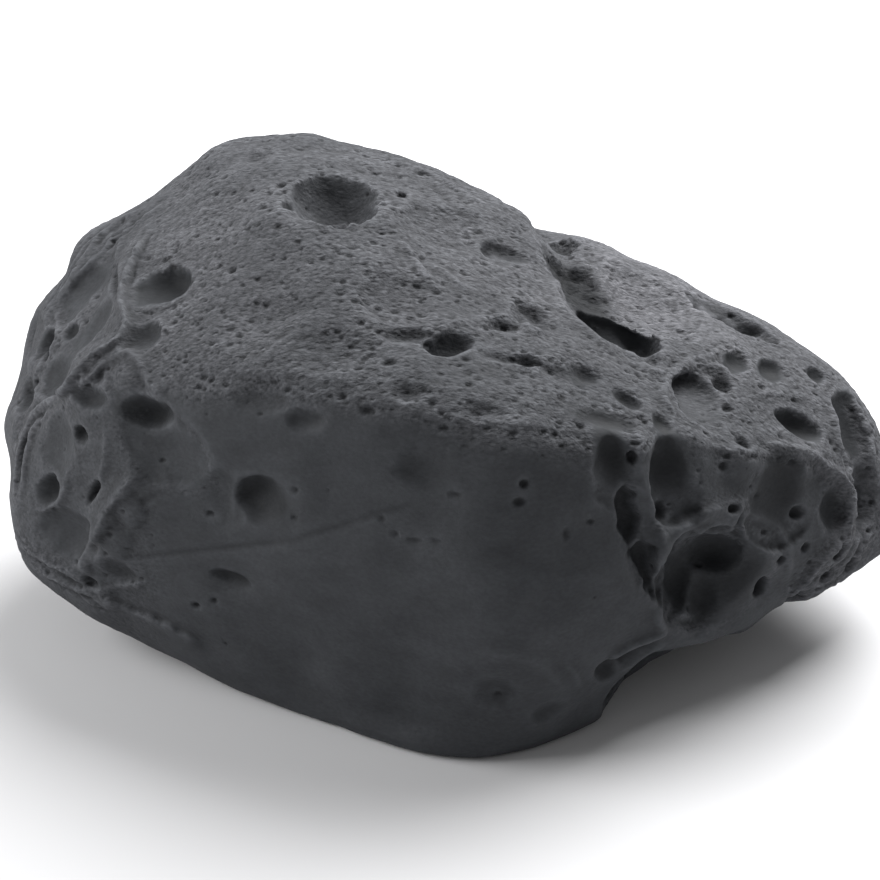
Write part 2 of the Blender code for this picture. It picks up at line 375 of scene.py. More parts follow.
def carve(line, size, turn=0, steep=2, rim=0.3, tilt=(0, 0), lean=(0, 0), uneven=0.12, facing=None,
          rough=None, dark=None):
    """Cuts a hollow of size (length, width, depth) mm, or raises a lump where the depth is negative."""
    length, width, depth = (v * MM for v in size)
    if facing:
        place, sag = np.array(skin.tree.ray_cast(*line)[0]), 0
        axes = axes_at(Vector(facing).normalized(), turn)
    else:
        place, axes, _, sag = seat(line, length, width, turn)
    rel = (skin.points - place) @ axes.T
    level = rel[:, 2] + sag
    u = rel[:, 0] - lean[0] * level
    v = rel[:, 1] - lean[1] * level
    rho = np.hypot(2 * u / length, 2 * v / width)
    near = (rho < MOUTH_REACH) & (np.abs(level) < max(length, width) * MOUTH_LEVEL + abs(depth))
    where = np.flatnonzero(near & (skin.out @ axes[2] > MOUTH_FACING))
    level, u, v = level[where], u[where], v[where]
    wave = bend(skin.points[where], MOUTH_GRAIN, MOUTH_SHIFT)
    wave += CHIP_SHARE * bend(skin.points[where], CHIP_GRAIN, CHIP_SHIFT)
    rho = rho[where] * (1 + uneven * 2 * wave)
    deep = depth * np.clip(1 + tilt[0] * 2 * u / length + tilt[1] * 2 * v / width, *TILT_LIMITS)
    floor = -deep * (1 - rho ** steep)
    if depth < 0:
        lifted = -soft_min(-level, -floor, rim * MM)
        new = level + (lifted - level) * (1 - ease(rho, *LUMP_FADE))
    else:
        new = soft_min(level, floor, rim * MM)
    spots = np.stack([u + lean[0] * new, v + lean[1] * new, new - sag], axis=1) @ axes
    skin.points[where] = (spots + place).astype(np.float32)
    if rough is not None:
        outside = ease(rho, *ROUGH_FADE)
        skin.blend("rough", where, rough, 1 - outside)
        on_rim = outside * (1 - ease(rho, *RIM_FADE))
        skin.mark("rough")[where] = np.maximum(skin.mark("rough")[where], RIM_ROUGH * on_rim)
    # Painted shade: the hollow's colour darkens, fully in its middle and fading towards the rim.
    if dark is not None:
        skin.blend("dark", where, dark, 1 - ease(rho, *PAINTED_SHADE_FADE))


def lid(body, line, size, turn=0):
    """Adds a lid over a hollow of size (length, width, depth) mm: flush with the stone, round below."""
    length, width, depth = (v * MM for v in size)
    place, axes, curve, _ = seat(line, length, width, turn)
    corners = bmesh.ops.create_icosphere(body, subdivisions=4, radius=1)["verts"]
    ball = np.array([corner.co for corner in corners], np.float32)
    u, v = ball[:, 0] * length * LID_SHARE, ball[:, 1] * width * LID_SHARE
    height = terms(u, v, length, width) @ curve - curve[0] + np.minimum(ball[:, 2], 0) * depth
    for corner, spot in zip(corners, np.stack([u, v, height], axis=1) @ axes + place):
        corner.co = spot


def at(spot, size, turn=0, side=None, **how):
    """One hollow for a table, at a pixel of the camera's view, or at a place in mm seen from a side."""
    return [dict(line=from_side(side, spot) if side else sight(spot), size=size, turn=turn, **how)]


def alike(spots, **how):
    """Several hollows cut the same way. Each is (x, y, length, width, depth) and, if turned, its turn."""
    return [row for spot in spots for row in at(spot[:2], spot[2:5], *spot[5:], **how)]


def carve_all(table):
    """Cuts every hollow of a table and settles the skin."""
    for rows in table.values():
        for row in rows:
            carve(**row)
    skin.settle()
    tell("cut:", ", ".join(table))


# %% [markdown]
# ## Mend the frame's coarse forms
#
# The frame's solid has few faces, so its hollows are a little coarse and a few of its edges stand a little
# proud. First the bulk is trimmed and raised by a few millimetres: each row has a centre, a reach and a
# push, all (x, y, z) in mm. Then lids close the large hollows, flush with the stone round them, because each
# is cut again with a finer mouth and floor.

# %% Trim the bulk, close the coarse hollows
BULK = {
    "left_tip": ((-155, 8, 74), (12, 26, 16), (-1.6, 0, 0)),
    "left_tip_low": ((-156, 6, 57), (10, 22, 14), (1.8, 0, 0)),
    "left_edge": ((-150, 34, 90), (12, 26, 14), (-1.3, 0, 0.2)),
    "left_corner": ((-141, 47, 109), (14, 26, 14), (2.4, 0, -2.2)),
    "left_shoulder": ((-129, 53, 119), (13, 26, 14), (-1.6, 0, 2.0)),
    "crown_left": ((-84, 67, 147), (16, 22, 12), (-0.4, 0, 1.4)),
    "crown_top": ((-60, 75, 153), (14, 22, 12), (0, 0, -2.0)),
    "skyline_valley": ((32, 62, 125), (19, 40, 18), (0, 0, -5.6)),
    "right_slope": ((78, 46, 109), (18, 26, 14), (0, 0, 2.4)),
    "belly": ((90, -43, 10), (44, 32, 28), (0, 1.4, 2.6)),
    "belly_right": ((114, -38, 20), (16, 24, 18), (0, 1.4, 3.4)),
    "belly_lip": ((86, -60, 33), (36, 20, 17), (0, 0, -8)),
    "brow_1": ((53, -72, 106), (17, 11, 10), (0.6, -3.4, 2.0)),
    "brow_2": ((73, -61, 99), (17, 11, 10), (1.2, -3.2, 2.0)),
    "brow_3": ((94, -50, 90), (17, 11, 10), (1.4, -3.2, 2.0)),
    "brow_4": ((115, -37, 81), (16, 11, 10), (1.6, -3.0, 2.0)),
    "foot_corner": ((58, -58, 2), (14, 18, 10), (-1.2, 1.0, 0)),
    "base_front": ((-8, -84, 2), (36, 18, 14), (0, -4.4, 0)),
}
LIDS = {
    "over the crater": ((335, 196), (42, 42, 30)),
    "over the shoulder dimple": ((163, 286), (26, 18, 10)),
    "over the almond": ((456, 342), (26, 22, 20), 20),
    "over the cleft": ((618, 330), (50, 23, 35), -37),
    "over the ledge": ((692, 384), (38, 28, 16), 25),
    "over the shoulder pit": ((790, 420), (24, 16, 12)),
    "over the left bowl": ((621, 452), (22, 26, 12)),
    "over the middle bowl": ((681, 458), (29, 27, 12)),
    "over the cave": ((702, 575), (42, 50, 40)),
    "over the scoop": ((257, 497), (30, 26, 16)),
    "over the brow hollow": ((147, 413), (32, 21, 12), 10),
    "over the low flank pit": ((47, 491), (15, 18, 9)),
    "over the high flank pit": ((45, 337), (17, 27, 10), 20),
    "over the left flank pit": ((28, 389), (16, 22, 9), 40),
    "over the keyhole": ((660, 512), (12, 15, 12)),
}


def push(centre, reach, by):
    """Moves the skin round a place by up to so many mm, fading out over the reach."""
    away = (skin.points / MM - np.array(centre)) / np.array(reach)
    fade = np.clip(1 - (away ** 2).sum(axis=1), 0, 1) ** 2
    skin.points += (np.outer(fade, by) * MM).astype(np.float32)


for row in BULK.values():
    push(*row)
skin.settle()
closed = bmesh.new()
closed.from_mesh(skin.as_mesh())
for spot, *size_and_turn in LIDS.values():
    lid(closed, sight(spot), *size_and_turn)
closed.to_mesh(skin.mesh)
closed.free()
tell("pushed:", ", ".join(BULK), "\nlids:", ", ".join(LIDS))
skin = relaid(Skin(skin.mesh), CUT_GRID, CUT_PASSES)

# %% [markdown]
# ## How a crest, a groove or a ledge is drawn
#
# A crest is where two worn faces meet, a groove is a crack that water found, and a ledge is a step where a
# layer broke off. Each follows a path over the stone. The path's spots are pixels, the lines of sight lay
# them on the skin, and every point near the path is lifted or lowered by how far away it lies. A fold is a
# band of broken layers: soft ridges that run beside a path and wander.

# %% Paths over the skin
# The step is in pixels and the grain in mm. The shifts are places in the noise, the rest shares or powers.
PATH_STEP = 5
FACING_PATH = 0.1
CREASE_REACH = 1.6
CREST_POWER = 1.6
LEDGE_POWER = 1.2
WIDTH_JITTER = 0.5
HEIGHT_JITTER = 0.6
LEDGE_JITTER = 0.4
ROUGH_CORE = 0.6
FOLD_CORE = 0.5
WANDER = 0.8
RIDGE_SLOPE = 2.4
JITTER_GRAIN = 4.0
JITTER_SHIFT = Vector((9.2, 1.1, 4.7))
WANDER_SHIFT = Vector((2.2, 8.1, 4.4))
LAYER_SHIFT = Vector((7.7, 3.3, 1.1))


def lay_path(pixels):
    """The path's places on the skin and the ways out there, a few pixels apart."""
    spots = []
    for start, end in zip(pixels, pixels[1:]):
        steps = max(1, round(math.dist(start, end) / PATH_STEP))
        for i in range(steps):
            spots.append([a + (b - a) * i / steps for a, b in zip(start, end)])
    spots.append(pixels[-1])
    hits = [skin.tree.ray_cast(*sight(spot)) for spot in spots]
    places = np.array([place for place, _, _, _ in hits if place], np.float32)
    return places, np.array([out for place, out, _, _ in hits if place], np.float32)


def beside_path(places, outs, reach):
    """For each point near the path: its index, how far off it lies, on which side and how far along. Then
    the path's length."""
    lengths = np.concatenate([[0], np.cumsum(np.linalg.norm(np.diff(places, axis=0), axis=1))])
    middle = places.mean(axis=0)
    span = np.linalg.norm(places - middle, axis=1).max() + reach
    where = np.flatnonzero(np.linalg.norm(skin.points - middle, axis=1) < span)
    best = np.full(len(where), 1e9, np.float32)
    side, run, facing = (np.zeros(len(where), np.float32) for _ in range(3))
    for i in range(len(places) - 1):
        leg = places[i + 1] - places[i]
        size = max(float(leg @ leg), 1e-12)
        share = np.clip((skin.points[where] - places[i]) @ leg / size, 0, 1)
        gap = skin.points[where] - places[i] - np.outer(share, leg)
        away = np.linalg.norm(gap, axis=1)
        nearer = away < best
        best = np.where(nearer, away, best)
        side = np.where(nearer, gap @ np.cross(outs[i], leg / math.sqrt(size)), side)
        run = np.where(nearer, lengths[i] + share * (lengths[i + 1] - lengths[i]), run)
        facing = np.where(nearer, skin.out[where] @ outs[i], facing)
    strip = (best < reach) & (facing > FACING_PATH)
    return where[strip], best[strip], side[strip], run[strip], lengths[-1]


def crease(path, width, height, form="crest", jitter=0.6, taper=0.2, rough=None, band=1.0):
    """Lifts the skin along a path by `height` mm in a strip of `width` mm on either side.

    A crest is sharp, a groove is a rounded dip, and a ledge is lifted only on the path's left. The mark
    `rough` reaches `band` times as far as the strip.
    """
    places, outs = lay_path(path)
    where, away, side, run, total = beside_path(places, outs, width * MM * max(CREASE_REACH, band))
    run = run / total
    shake = bend(skin.points[where], JITTER_GRAIN, JITTER_SHIFT) * jitter
    away = np.maximum(away + shake * width * MM * WIDTH_JITTER, 0)
    fade = np.clip(np.minimum(run, 1 - run) / taper, 0, 1) * (1 + shake * HEIGHT_JITTER)
    share = np.clip(1 - away / (width * MM), 0, 1)
    if form == "crest":
        lift = share ** CREST_POWER
    elif form == "groove":
        lift = -(share * share * (3 - 2 * share))
    else:
        on_left = np.clip((side + shake * width * MM * LEDGE_JITTER) / (1.0 * MM) + 0.5, 0, 1)
        lift = share ** LEDGE_POWER * on_left
    skin.points[where] += skin.out[where] * (lift * fade * height * MM)[:, None]
    if rough is not None:
        near = 1 - ease(away, ROUGH_CORE * band * width * MM, band * width * MM)
        mark = skin.mark("rough")
        mark[where] += (rough - mark[where]) * near * np.clip(fade, 0, 1)


def fold(path, reach, height, across=3.0, along=20.0, rough=None):
    """Broken layers beside a path: ridges of `height` mm that run with it, `across` mm apart."""
    places, outs = lay_path(path)
    where, away, side, run, _ = beside_path(places, outs, reach * MM)
    level = np.stack([side / (across * MM), run / (along * MM), np.zeros_like(run)], axis=1)
    level[:, 0] += WANDER * bend(skin.points[where], 2 * across, WANDER_SHIFT)
    ridge = 1 - RIDGE_SLOPE * np.abs(bend(level * MM, 1.0, LAYER_SHIFT))
    fade = 1 - ease(away, FOLD_CORE * reach * MM, reach * MM)
    skin.points[where] += skin.out[where] * (ridge * fade * height * MM)[:, None]
    if rough is not None:
        skin.blend("rough", where, rough, fade)


def drawn(path, *size, **how):
    """One crease or fold for a table: its path, its width or reach and its height in mm, and the rest."""
    return dict(given=(path, *size), how=how)


def draw_all(draw, table):
    """Draws every line of a table, as a crease or as a fold, and settles the skin."""
    for row in table.values():
        draw(*row["given"], **row["how"])
    skin.settle()
    tell("drawn:", ", ".join(table))


# %% [markdown]
# ## Wear the front edge round
#
# The top rolls over into the front wall in a wide, soft bend, because the river wears an edge first.
# Smoothing does the same: each point near the edge moves halfway to the mean of its neighbours, again and
# again.

# %% Round the front edge
FRONT_EDGE = [(150, 398), (230, 400), (300, 400), (370, 406), (450, 424), (520, 440), (585, 448)]
EDGE_REACH = 18
EDGE_CORE = 0.5
EDGE_PASSES = 150


def soften(path, reach, passes):
    """Rounds the skin within `reach` mm of a path."""
    where, away, _, _, _ = beside_path(*lay_path(path), reach * MM)
    hold = 0.5 * (1 - ease(away, EDGE_CORE * reach * MM, reach * MM))[:, None]
    local = np.full(len(skin.points), -1)
    local[where] = np.arange(len(where))
    pairs = np.concatenate([skin.triangles[:, [0, 1]], skin.triangles[:, [1, 2]], skin.triangles[:, [2, 0]]])
    here, there = pairs[local[pairs[:, 0]] >= 0].T
    here = local[here]
    number = np.bincount(here)[:, None]
    for _ in range(passes):
        near = skin.points[there]
        mean = np.stack([np.bincount(here, near[:, i]) for i in range(3)], axis=1) / number
        skin.points[where] += (hold * (mean - skin.points[where])).astype(np.float32)
    skin.settle()


soften(FRONT_EDGE, EDGE_REACH, EDGE_PASSES)
tell("softened the front edge")

# %% [markdown]
# ## How rough the stone is
#
# The top and the back are grainy crust. The front wall was polished by the current, and the insides of the
# large bubbles are smooth glass skins. One number at each point says how rough it is there. It steers the
# pores, the grain and the dust, and through the dust it also paints the upward-facing top paler and the wall
# darker: partly real dust, partly painted light and shade. The first guess follows the way the surface
# faces;
# every hollow and crease that is cut later may change it.

# %% The roughness mark
WALL_ROUGH = 0.06
BACK_ROUGH = 0.80
FLANK_ROUGH = 0.38
FLANK_WORN = 0.35
END_ROUGH = 0.14
TOE_ROUGH = 0.80
PATCHES = 0.6
PATCH_GRAIN = 26.0
PATCH_SHIFT = Vector((5.5, 2.2, 8.8))
# Where a share begins and where it is full: by how much the skin faces up or back, or by a place in mm.
FACING_UP = (0.22, 0.72)
FACING_BACK = (-0.1, 0.3)
FLANK_LEFT_OF_MIDDLE = (88, 104)
END_RIGHT_OF_MIDDLE = (62, 72)
END_HEIGHT = (20, 40)
TOE_RIGHT_OF_MIDDLE = (130, 140)


def ease_mm(value, span):
    """0 below the span's first length in mm, 1 above its second."""
    return ease(value, span[0] * MM, span[1] * MM)


def first_roughness():
    """How rough each point is before any hollow is cut, from the way it faces and the end it lies at."""
    x, z = skin.points[:, 0], skin.points[:, 2]
    rough = WALL_ROUGH + (1 - WALL_ROUGH) * ease(skin.out[:, 2], *FACING_UP)
    rough = rough * (1 + PATCHES * bend(skin.points, PATCH_GRAIN, PATCH_SHIFT))
    rough = np.maximum(rough, BACK_ROUGH * ease(skin.out[:, 1], *FACING_BACK))
    left = ease_mm(-x, FLANK_LEFT_OF_MIDDLE)
    rough = rough * (1 - FLANK_WORN * left)
    rough = np.maximum(rough, FLANK_ROUGH * left)
    rough = np.maximum(rough, END_ROUGH * ease_mm(x, END_RIGHT_OF_MIDDLE) * ease_mm(z, END_HEIGHT))
    rough = np.maximum(rough, TOE_ROUGH * ease_mm(x, TOE_RIGHT_OF_MIDDLE))
    return np.minimum(rough, 1)


skin.mark("rough")[:] = first_roughness()
tell("rough:", round(float(skin.mark("rough").mean()), 2), "on average")

# %% [markdown]
# ## The top
#
# The crown's crater is a great bubble cut in half: a wide, smooth bowl with a sharp rim. The almond pit and
# the cleft are deep and dark. The cleft's upper end is a rough channel that runs over the skyline, where two
# bubbles broke into each other, and three lumps of broken crust are left in it. Between them lie dimples,
# which are bubbles worn almost away.
#
# The lumps and the cleft's hole lie inside the channel. They stand in the second table, so that the skin has
# settled and they are measured from the channel's floor.

# %% Hollows of the top
CRATER_AND_CLEFT = {
    "channel": at((582, 287), (44, 26, 6), -72, steep=3, rim=0.4, tilt=(-0.45, 0), rough=0.8, dark=0.9),
    "skyline_hole": at((40, 44), (9, 16, 4), side="top", steep=3, rim=0.5, rough=1.0, dark=0.7),
    "crown_crater": at((335, 198), (30, 37, 13), steep=2.4, uneven=0.04, rough=0.45),
    "crater_notch": at((290, 207), (4.5, 7, 2.4), -20, rough=0.3),
    "crater_side_pits": alike([(281, 184, 3, 3.5, 1.6), (284, 191, 2.4, 2.6, 1.2)], steep=2.5),
}
TOP_HOLLOWS = {
    "channel_lump": alike([(580, 272, 9, 7, -1.8, 30), (573, 289, 8, 6, -1.6, -20),
        (592, 298, 8, 6, -1.6)], rim=0.5),
    "cleft_hole": at((615, 331), (29, 15, 10), -26, steep=5, rim=0.4, uneven=0.05,
        facing=(0.1, -0.72, 0.69), rough=0.1, dark=0),
    "shoulder_dimple": at((163, 285), (25, 17, 5.5), -4, steep=2.4, rim=0.4, tilt=(0.6, 0.3), rough=0.05,
        dark=0.6),
    "triangle_dimple": at((145, 336), (14, 11, 2.4), 35, rim=0.4, tilt=(0.3, 0.3), rough=0.3, dark=0.4),
    "almond_pit": at((451, 342), (19, 11, 6), 26, steep=3.2, tilt=(-0.4, 0), lean=(0, 0.3), rough=0.5),
    "almond_left_dimple": at((404, 334), (17, 6, 1.8), 2, rim=0.5, tilt=(0.3, 0.4), dark=0.4),
    "almond_right_dimple": at((503, 326), (11, 6, 2.4), 8, rim=0.5),
    "valley_dimple": at((534, 318), (16, 14, 3.2), -25, steep=2.2, rim=0.4, tilt=(-0.5, 0.4), dark=0.3),
    "top_groove": at((504, 253), (19, 9, 2.8), -8, rim=0.4, tilt=(-0.4, 0.4), rough=0.5),
    "top_groove_deep": at((488, 252), (7, 7, 2.4), -8, rim=0.4),
    "top_far_pits": alike([(402, 194, 4.5, 6, 2.4), (395, 204, 3, 3.5, 1.4)], steep=2.5),
    "near_pit": at((527, 360), (8.5, 5, 3.0), 6, steep=2.4, rim=0.4, dark=0.5),
    "near_pit_groove": at((502, 359), (13, 4, 1.0), rim=0.5),
    "near_saucer": at((584, 376), (12, 8, 2.6), 8, rim=0.4, tilt=(0.3, 0.5), rough=0.5, dark=0.5),
    "near_saucer_left": at((560, 373), (12, 7, 1.4), rim=0.5),
    "near_pit_right": at((627, 398), (12, 8, 3.0), -42, steep=2.2, rim=0.4, tilt=(0, 0.5), rough=0.5,
        dark=0.5),
    "edge_saucer": at((602, 418), (20, 8, 1.6), rim=0.5, tilt=(0, 0.4), rough=0.5, dark=0.7),
    "edge_saucer_right": at((662, 423), (8, 8, 1.8), rim=0.4, tilt=(0, 0.4), rough=0.5, dark=0.7),
    "edge_specks": alike([(343, 397, 3.2, 2.8, 1.8), (468, 373, 2.8, 2.4, 1.6), (470, 384, 3.0, 2.6, 1.8),
        (508, 382, 2.8, 2.4, 1.5), (231, 270, 3, 2.8, 1.6), (389, 376, 2.4, 2.2, 1.3),
        (432, 404, 3.2, 2.4, 1.4)], steep=2.5),
    "edge_dip_1": at((368, 410), (5, 3, 1.4), rim=0.4),
    "edge_dips_left": alike([(262, 398, 18, 12, 1.2), (306, 420, 16, 8, 1.8, 6)], rim=0.6),
    "edge_dips_right": alike([(482, 412, 15, 7, 0.9), (410, 392, 12, 7, 1.2)], rim=0.5),
    "broad_dips_left": alike([(270, 315, 30, 22, 1.6, 10), (340, 350, 28, 16, 1.4, -6)], rim=0.6),
    "broad_dip_3": at((400, 300), (26, 20, 1.5), 30, rim=0.5),
    "broad_dip_4": at((445, 232), (30, 26, 1.8), -30, rim=0.6),
}
carve_all(CRATER_AND_CLEFT)
carve_all(TOP_HOLLOWS)

# %% [markdown]
# Thin cracks and worn layer edges run across the top, and the crater and the almond pit have raised lips.
# The cleft's left edge is a cliff: it is the sharpest line of the whole stone.

# %% Creases of the top
TOP_CREASES = {
    "crater_lip": drawn([(294, 214), (310, 223), (330, 228), (352, 226), (368, 214)], 2.4, 1.5, jitter=0.3,
        rough=1.0),
    "flake_edge": drawn([(364, 206), (378, 210), (396, 222)], 2.6, 0.9),
    "almond_lip": drawn([(426, 350), (434, 336), (446, 326), (460, 321), (476, 323)], 2.8, 1.0),
    "almond_ridge": drawn([(470, 322), (490, 318), (510, 316), (524, 325)], 5, 1.6),
    "valley_edge": drawn([(506, 305), (518, 317), (530, 331), (550, 333)], 3.5, 1.9),
    "cleft_cliff": drawn([(524, 232), (544, 247), (556, 262), (555, 290), (562, 308), (580, 326),
        (602, 344), (628, 354), (656, 353)], 5, 1.6, jitter=0.4, taper=0.08),
    "channel_edge": drawn([(574, 252), (588, 268), (597, 288), (608, 304)], 3, 0.9),
    "scratch": drawn([(428, 178), (442, 194), (452, 205), (464, 216)], 2.2, 1.0, form="groove"),
    "vein": drawn([(400, 240), (412, 258), (424, 276), (438, 290)], 3, 1.6),
    "vein_2": drawn([(424, 262), (444, 272), (458, 284), (476, 292)], 2.5, 1.1),
    "short_crack": drawn([(350, 302), (362, 303), (374, 311), (390, 324)], 2, 0.8, form="groove"),
    "skyline_streak_1": drawn([(384, 158), (410, 166), (436, 176), (462, 192), (484, 208)], 4, 1.2),
    "skyline_streak_2": drawn([(430, 170), (456, 180), (484, 194), (506, 212)], 3, 1.0),
    "sill_1": drawn([(180, 404), (230, 392), (290, 396), (350, 402), (420, 408)], 6, 0.4, form="ledge"),
    "sill_2": drawn([(400, 412), (460, 422), (520, 428), (590, 432)], 6, 0.8, form="ledge"),
    "sill_3": drawn([(200, 376), (260, 372), (330, 382), (400, 384)], 5, 0.6, form="ledge"),
}
draw_all(crease, TOP_CREASES)

# %% [markdown]
# ## The left flank
#
# The flank broke off along crests, like the folds of a sheet, and the river scooped a smooth dish into each
# face between them. Where two dishes meet they leave a sharp, rough crest. The crests run from the crown
# down to the belt, and the lowest one turns the corner to the front wall.

# %% Dishes and crests of the left flank
SCOOPED = 0.16
FLANK_FOLDS = {
    "main": drawn([(146, 232), (134, 262), (122, 300), (127, 326), (112, 346), (86, 366), (66, 392)], 6,
        0.6, across=2.8, rough=0.6),
    "skyline": drawn([(62, 292), (84, 258), (112, 234), (150, 208)], 12, 1.2, across=3.2, rough=0.45),
    "edge": drawn([(50, 402), (34, 418), (22, 450), (16, 500)], 7, 1.1, across=2.6, rough=0.5),
    "corner": drawn([(150, 486), (132, 500), (118, 524), (106, 550), (100, 572)], 7, 0.5, across=3.4,
        along=9, rough=0.15),
    "foot": drawn([(22, 546), (46, 568), (72, 582), (100, 598)], 8, 1.0, across=2.6, rough=0.6),
    "brow": drawn([(104, 384), (116, 362), (136, 360), (156, 386)], 6, 0.8, across=2.6, along=12,
        rough=0.7),
}
FLANK_DISHES = {
    "skyline_dish": at((74, 300), (24, 16, 2.0), 35, rim=0.5, rough=SCOOPED),
    "high_dish": at((90, 286), (24, 14, 2.6), 22, rim=0.4, tilt=(0.3, 0), rough=SCOOPED),
    "trough": at((114, 276), (5, 28, 1.6), 14, rim=0.4, rough=0.7, dark=0.3),
    "middle_dish": at((92, 327), (24, 17, 3.0), 18, rough=SCOOPED),
    "ring_dish": at((71, 331), (8, 6, 2.4), 10, rough=SCOOPED),
    "cup": at((46, 342), (12, 13, 5), -8, steep=2.5, tilt=(0.5, 0.2), facing=(-0.7, -0.6, 0.35),
        rough=SCOOPED, dark=0.4),
    "low_dish": at((57, 376), (19, 18, 3.2), 30, tilt=(-0.3, 0), rough=SCOOPED),
    "low_cup": at((28, 392), (13, 14, 4.0), -20, steep=2.2, tilt=(0.4, 0), rough=0.4, dark=0.4),
    "band_dish": at((90, 397), (14, 8, 2.2), -6, steep=2.2, tilt=(0, -0.5), rough=SCOOPED, dark=0.4),
    "brow_lump": at((129, 374), (20, 16, -3.0), -15, rim=0.8),
    "brow_hollow": at((141, 413), (22, 11.5, 6), -8, steep=2.5, rim=0.6, tilt=(0.6, 0), uneven=0.08,
        facing=(-0.25, -0.88, 0.38), rough=0.1, dark=0.5),
    "edge_dish": at((58, 440), (18, 22, 1.8), -10, rim=0.4, rough=SCOOPED),
    "notch": at((80, 434), (7, 7, 3.4), 10, steep=2.4, tilt=(0, 0.4), rough=0.4, dark=0.6),
    "bowl": at((49, 490), (10, 15, 4.6), -42, steep=2.4, tilt=(0.4, 0.3), rough=0.1, dark=0.6),
    "slit": at((93, 492), (3.6, 13, 4.0), -38, steep=2.4, rough=0.4, dark=0.8),
    "corner_dish": at((68, 533), (27, 20, 3.6), -8, tilt=(0.35, 0), rough=0.08),
    "wall_corner_dish": at((170, 452), (34, 22, 2.2), -30, rim=0.6, rough=0.1),
    "corner_bumps": alike([(128, 508, 13, 13, -1.6), (112, 542, 12, 15, -1.6)], rim=0.8, rough=0.2),
    "corner_pit": at((90, 583), (7, 5, 2.6), -20, steep=2.4),
    "low_shelf": at((122, 574), (15, 10, 2.2), rim=0.4, rough=0.3),
}
FLANK_CREASES = {
    "main_crest": drawn([(142, 238), (137, 256), (129, 272), (123, 290), (122, 306), (127, 324),
        (122, 338), (106, 349), (90, 361), (78, 374), (68, 388), (58, 399)], 2.4, 3.2, taper=0.08,
        jitter=0.3, rough=0.5, band=1.8),
    "second_crest": drawn([(129, 336), (118, 350), (106, 360), (95, 373), (82, 384), (72, 390)], 2.4, 1.7,
        rough=0.8, band=2),
    "third_crest": drawn([(112, 346), (99, 357), (88, 368), (77, 382)], 2.0, 0.9, rough=0.8),
    "crack": drawn([(124, 340), (114, 352), (104, 364), (102, 390)], 1.6, 1.0, form="groove"),
    "cup_rim": drawn([(50, 306), (58, 314), (58, 336), (52, 350), (40, 366), (36, 380), (38, 396),
        (44, 402)], 2.6, 1.6, taper=0.1, rough=0.7, band=2),
    "edge_crest_1": drawn([(58, 399), (44, 404), (34, 414), (24, 436), (18, 462), (15, 496)], 2.8, 1.6,
        taper=0.1, rough=0.7, band=2.2),
    "edge_crest_2": drawn([(40, 412), (31, 434), (25, 462), (23, 490)], 2.2, 1.2, rough=0.6),
    "edge_crack": drawn([(37, 408), (28, 432), (22, 460), (19, 488)], 1.8, 1.2, form="groove"),
    "corner_crest": drawn([(148, 474), (132, 479), (120, 494), (108, 510), (102, 524), (95, 536),
        (90, 552), (84, 562), (82, 574)], 3.8, 2.2, taper=0.08, rough=0.4, band=1.3),
    "inner_edge": drawn([(104, 424), (106, 448), (103, 470), (98, 482)], 2.4, 1.0),
    "bowl_rim": drawn([(66, 472), (66, 488), (58, 503), (44, 510), (30, 508)], 2.2, 1.2, rough=0.5),
    "brow_edge": drawn([(103, 392), (104, 372), (114, 358), (128, 352), (138, 360), (148, 380),
        (166, 400)], 2.6, 1.5, taper=0.1, rough=0.6, band=1.8),
    "flake_line_1": drawn([(130, 222), (122, 240), (115, 264)], 2.4, 1.3, rough=0.5, band=1.6),
    "flake_line_2": drawn([(112, 232), (106, 248), (100, 262)], 2.2, 1.0, rough=0.4),
    "skyline_ridge_1": drawn([(78, 262), (98, 240), (120, 222), (150, 206)], 3, 1.5, rough=0.5, band=2),
    "skyline_ridge_2": drawn([(60, 300), (74, 280), (92, 262), (112, 250)], 2.4, 1.2, rough=0.3),
    "foot_layers_1": drawn([(18, 540), (38, 556), (58, 568), (78, 574)], 2.4, 1.4, rough=0.8, band=2.4),
    "foot_layers_2": drawn([(24, 556), (48, 576), (70, 588), (92, 594)], 2.2, 1.2, rough=0.8),
    "foot_crack": drawn([(22, 549), (44, 568), (66, 580), (86, 586)], 1.8, 1.2, form="groove"),
    "foot_ledge": drawn([(204, 644), (170, 624), (140, 610), (116, 601), (96, 594)], 7, 1.8, form="ledge",
        taper=0.1),
    "low_shelf_edge": drawn([(98, 592), (112, 586), (134, 584), (148, 580)], 2.4, 0.9, rough=0.5),
}
draw_all(fold, FLANK_FOLDS)
carve_all(FLANK_DISHES)
draw_all(crease, FLANK_CREASES)

# %% [markdown]
# ## The front wall
#
# The front wall is the smooth side, where the river ran. It has one scoop with a sharp left edge, a slot, a
# long hairline crack and a few specks. Nothing else breaks it.

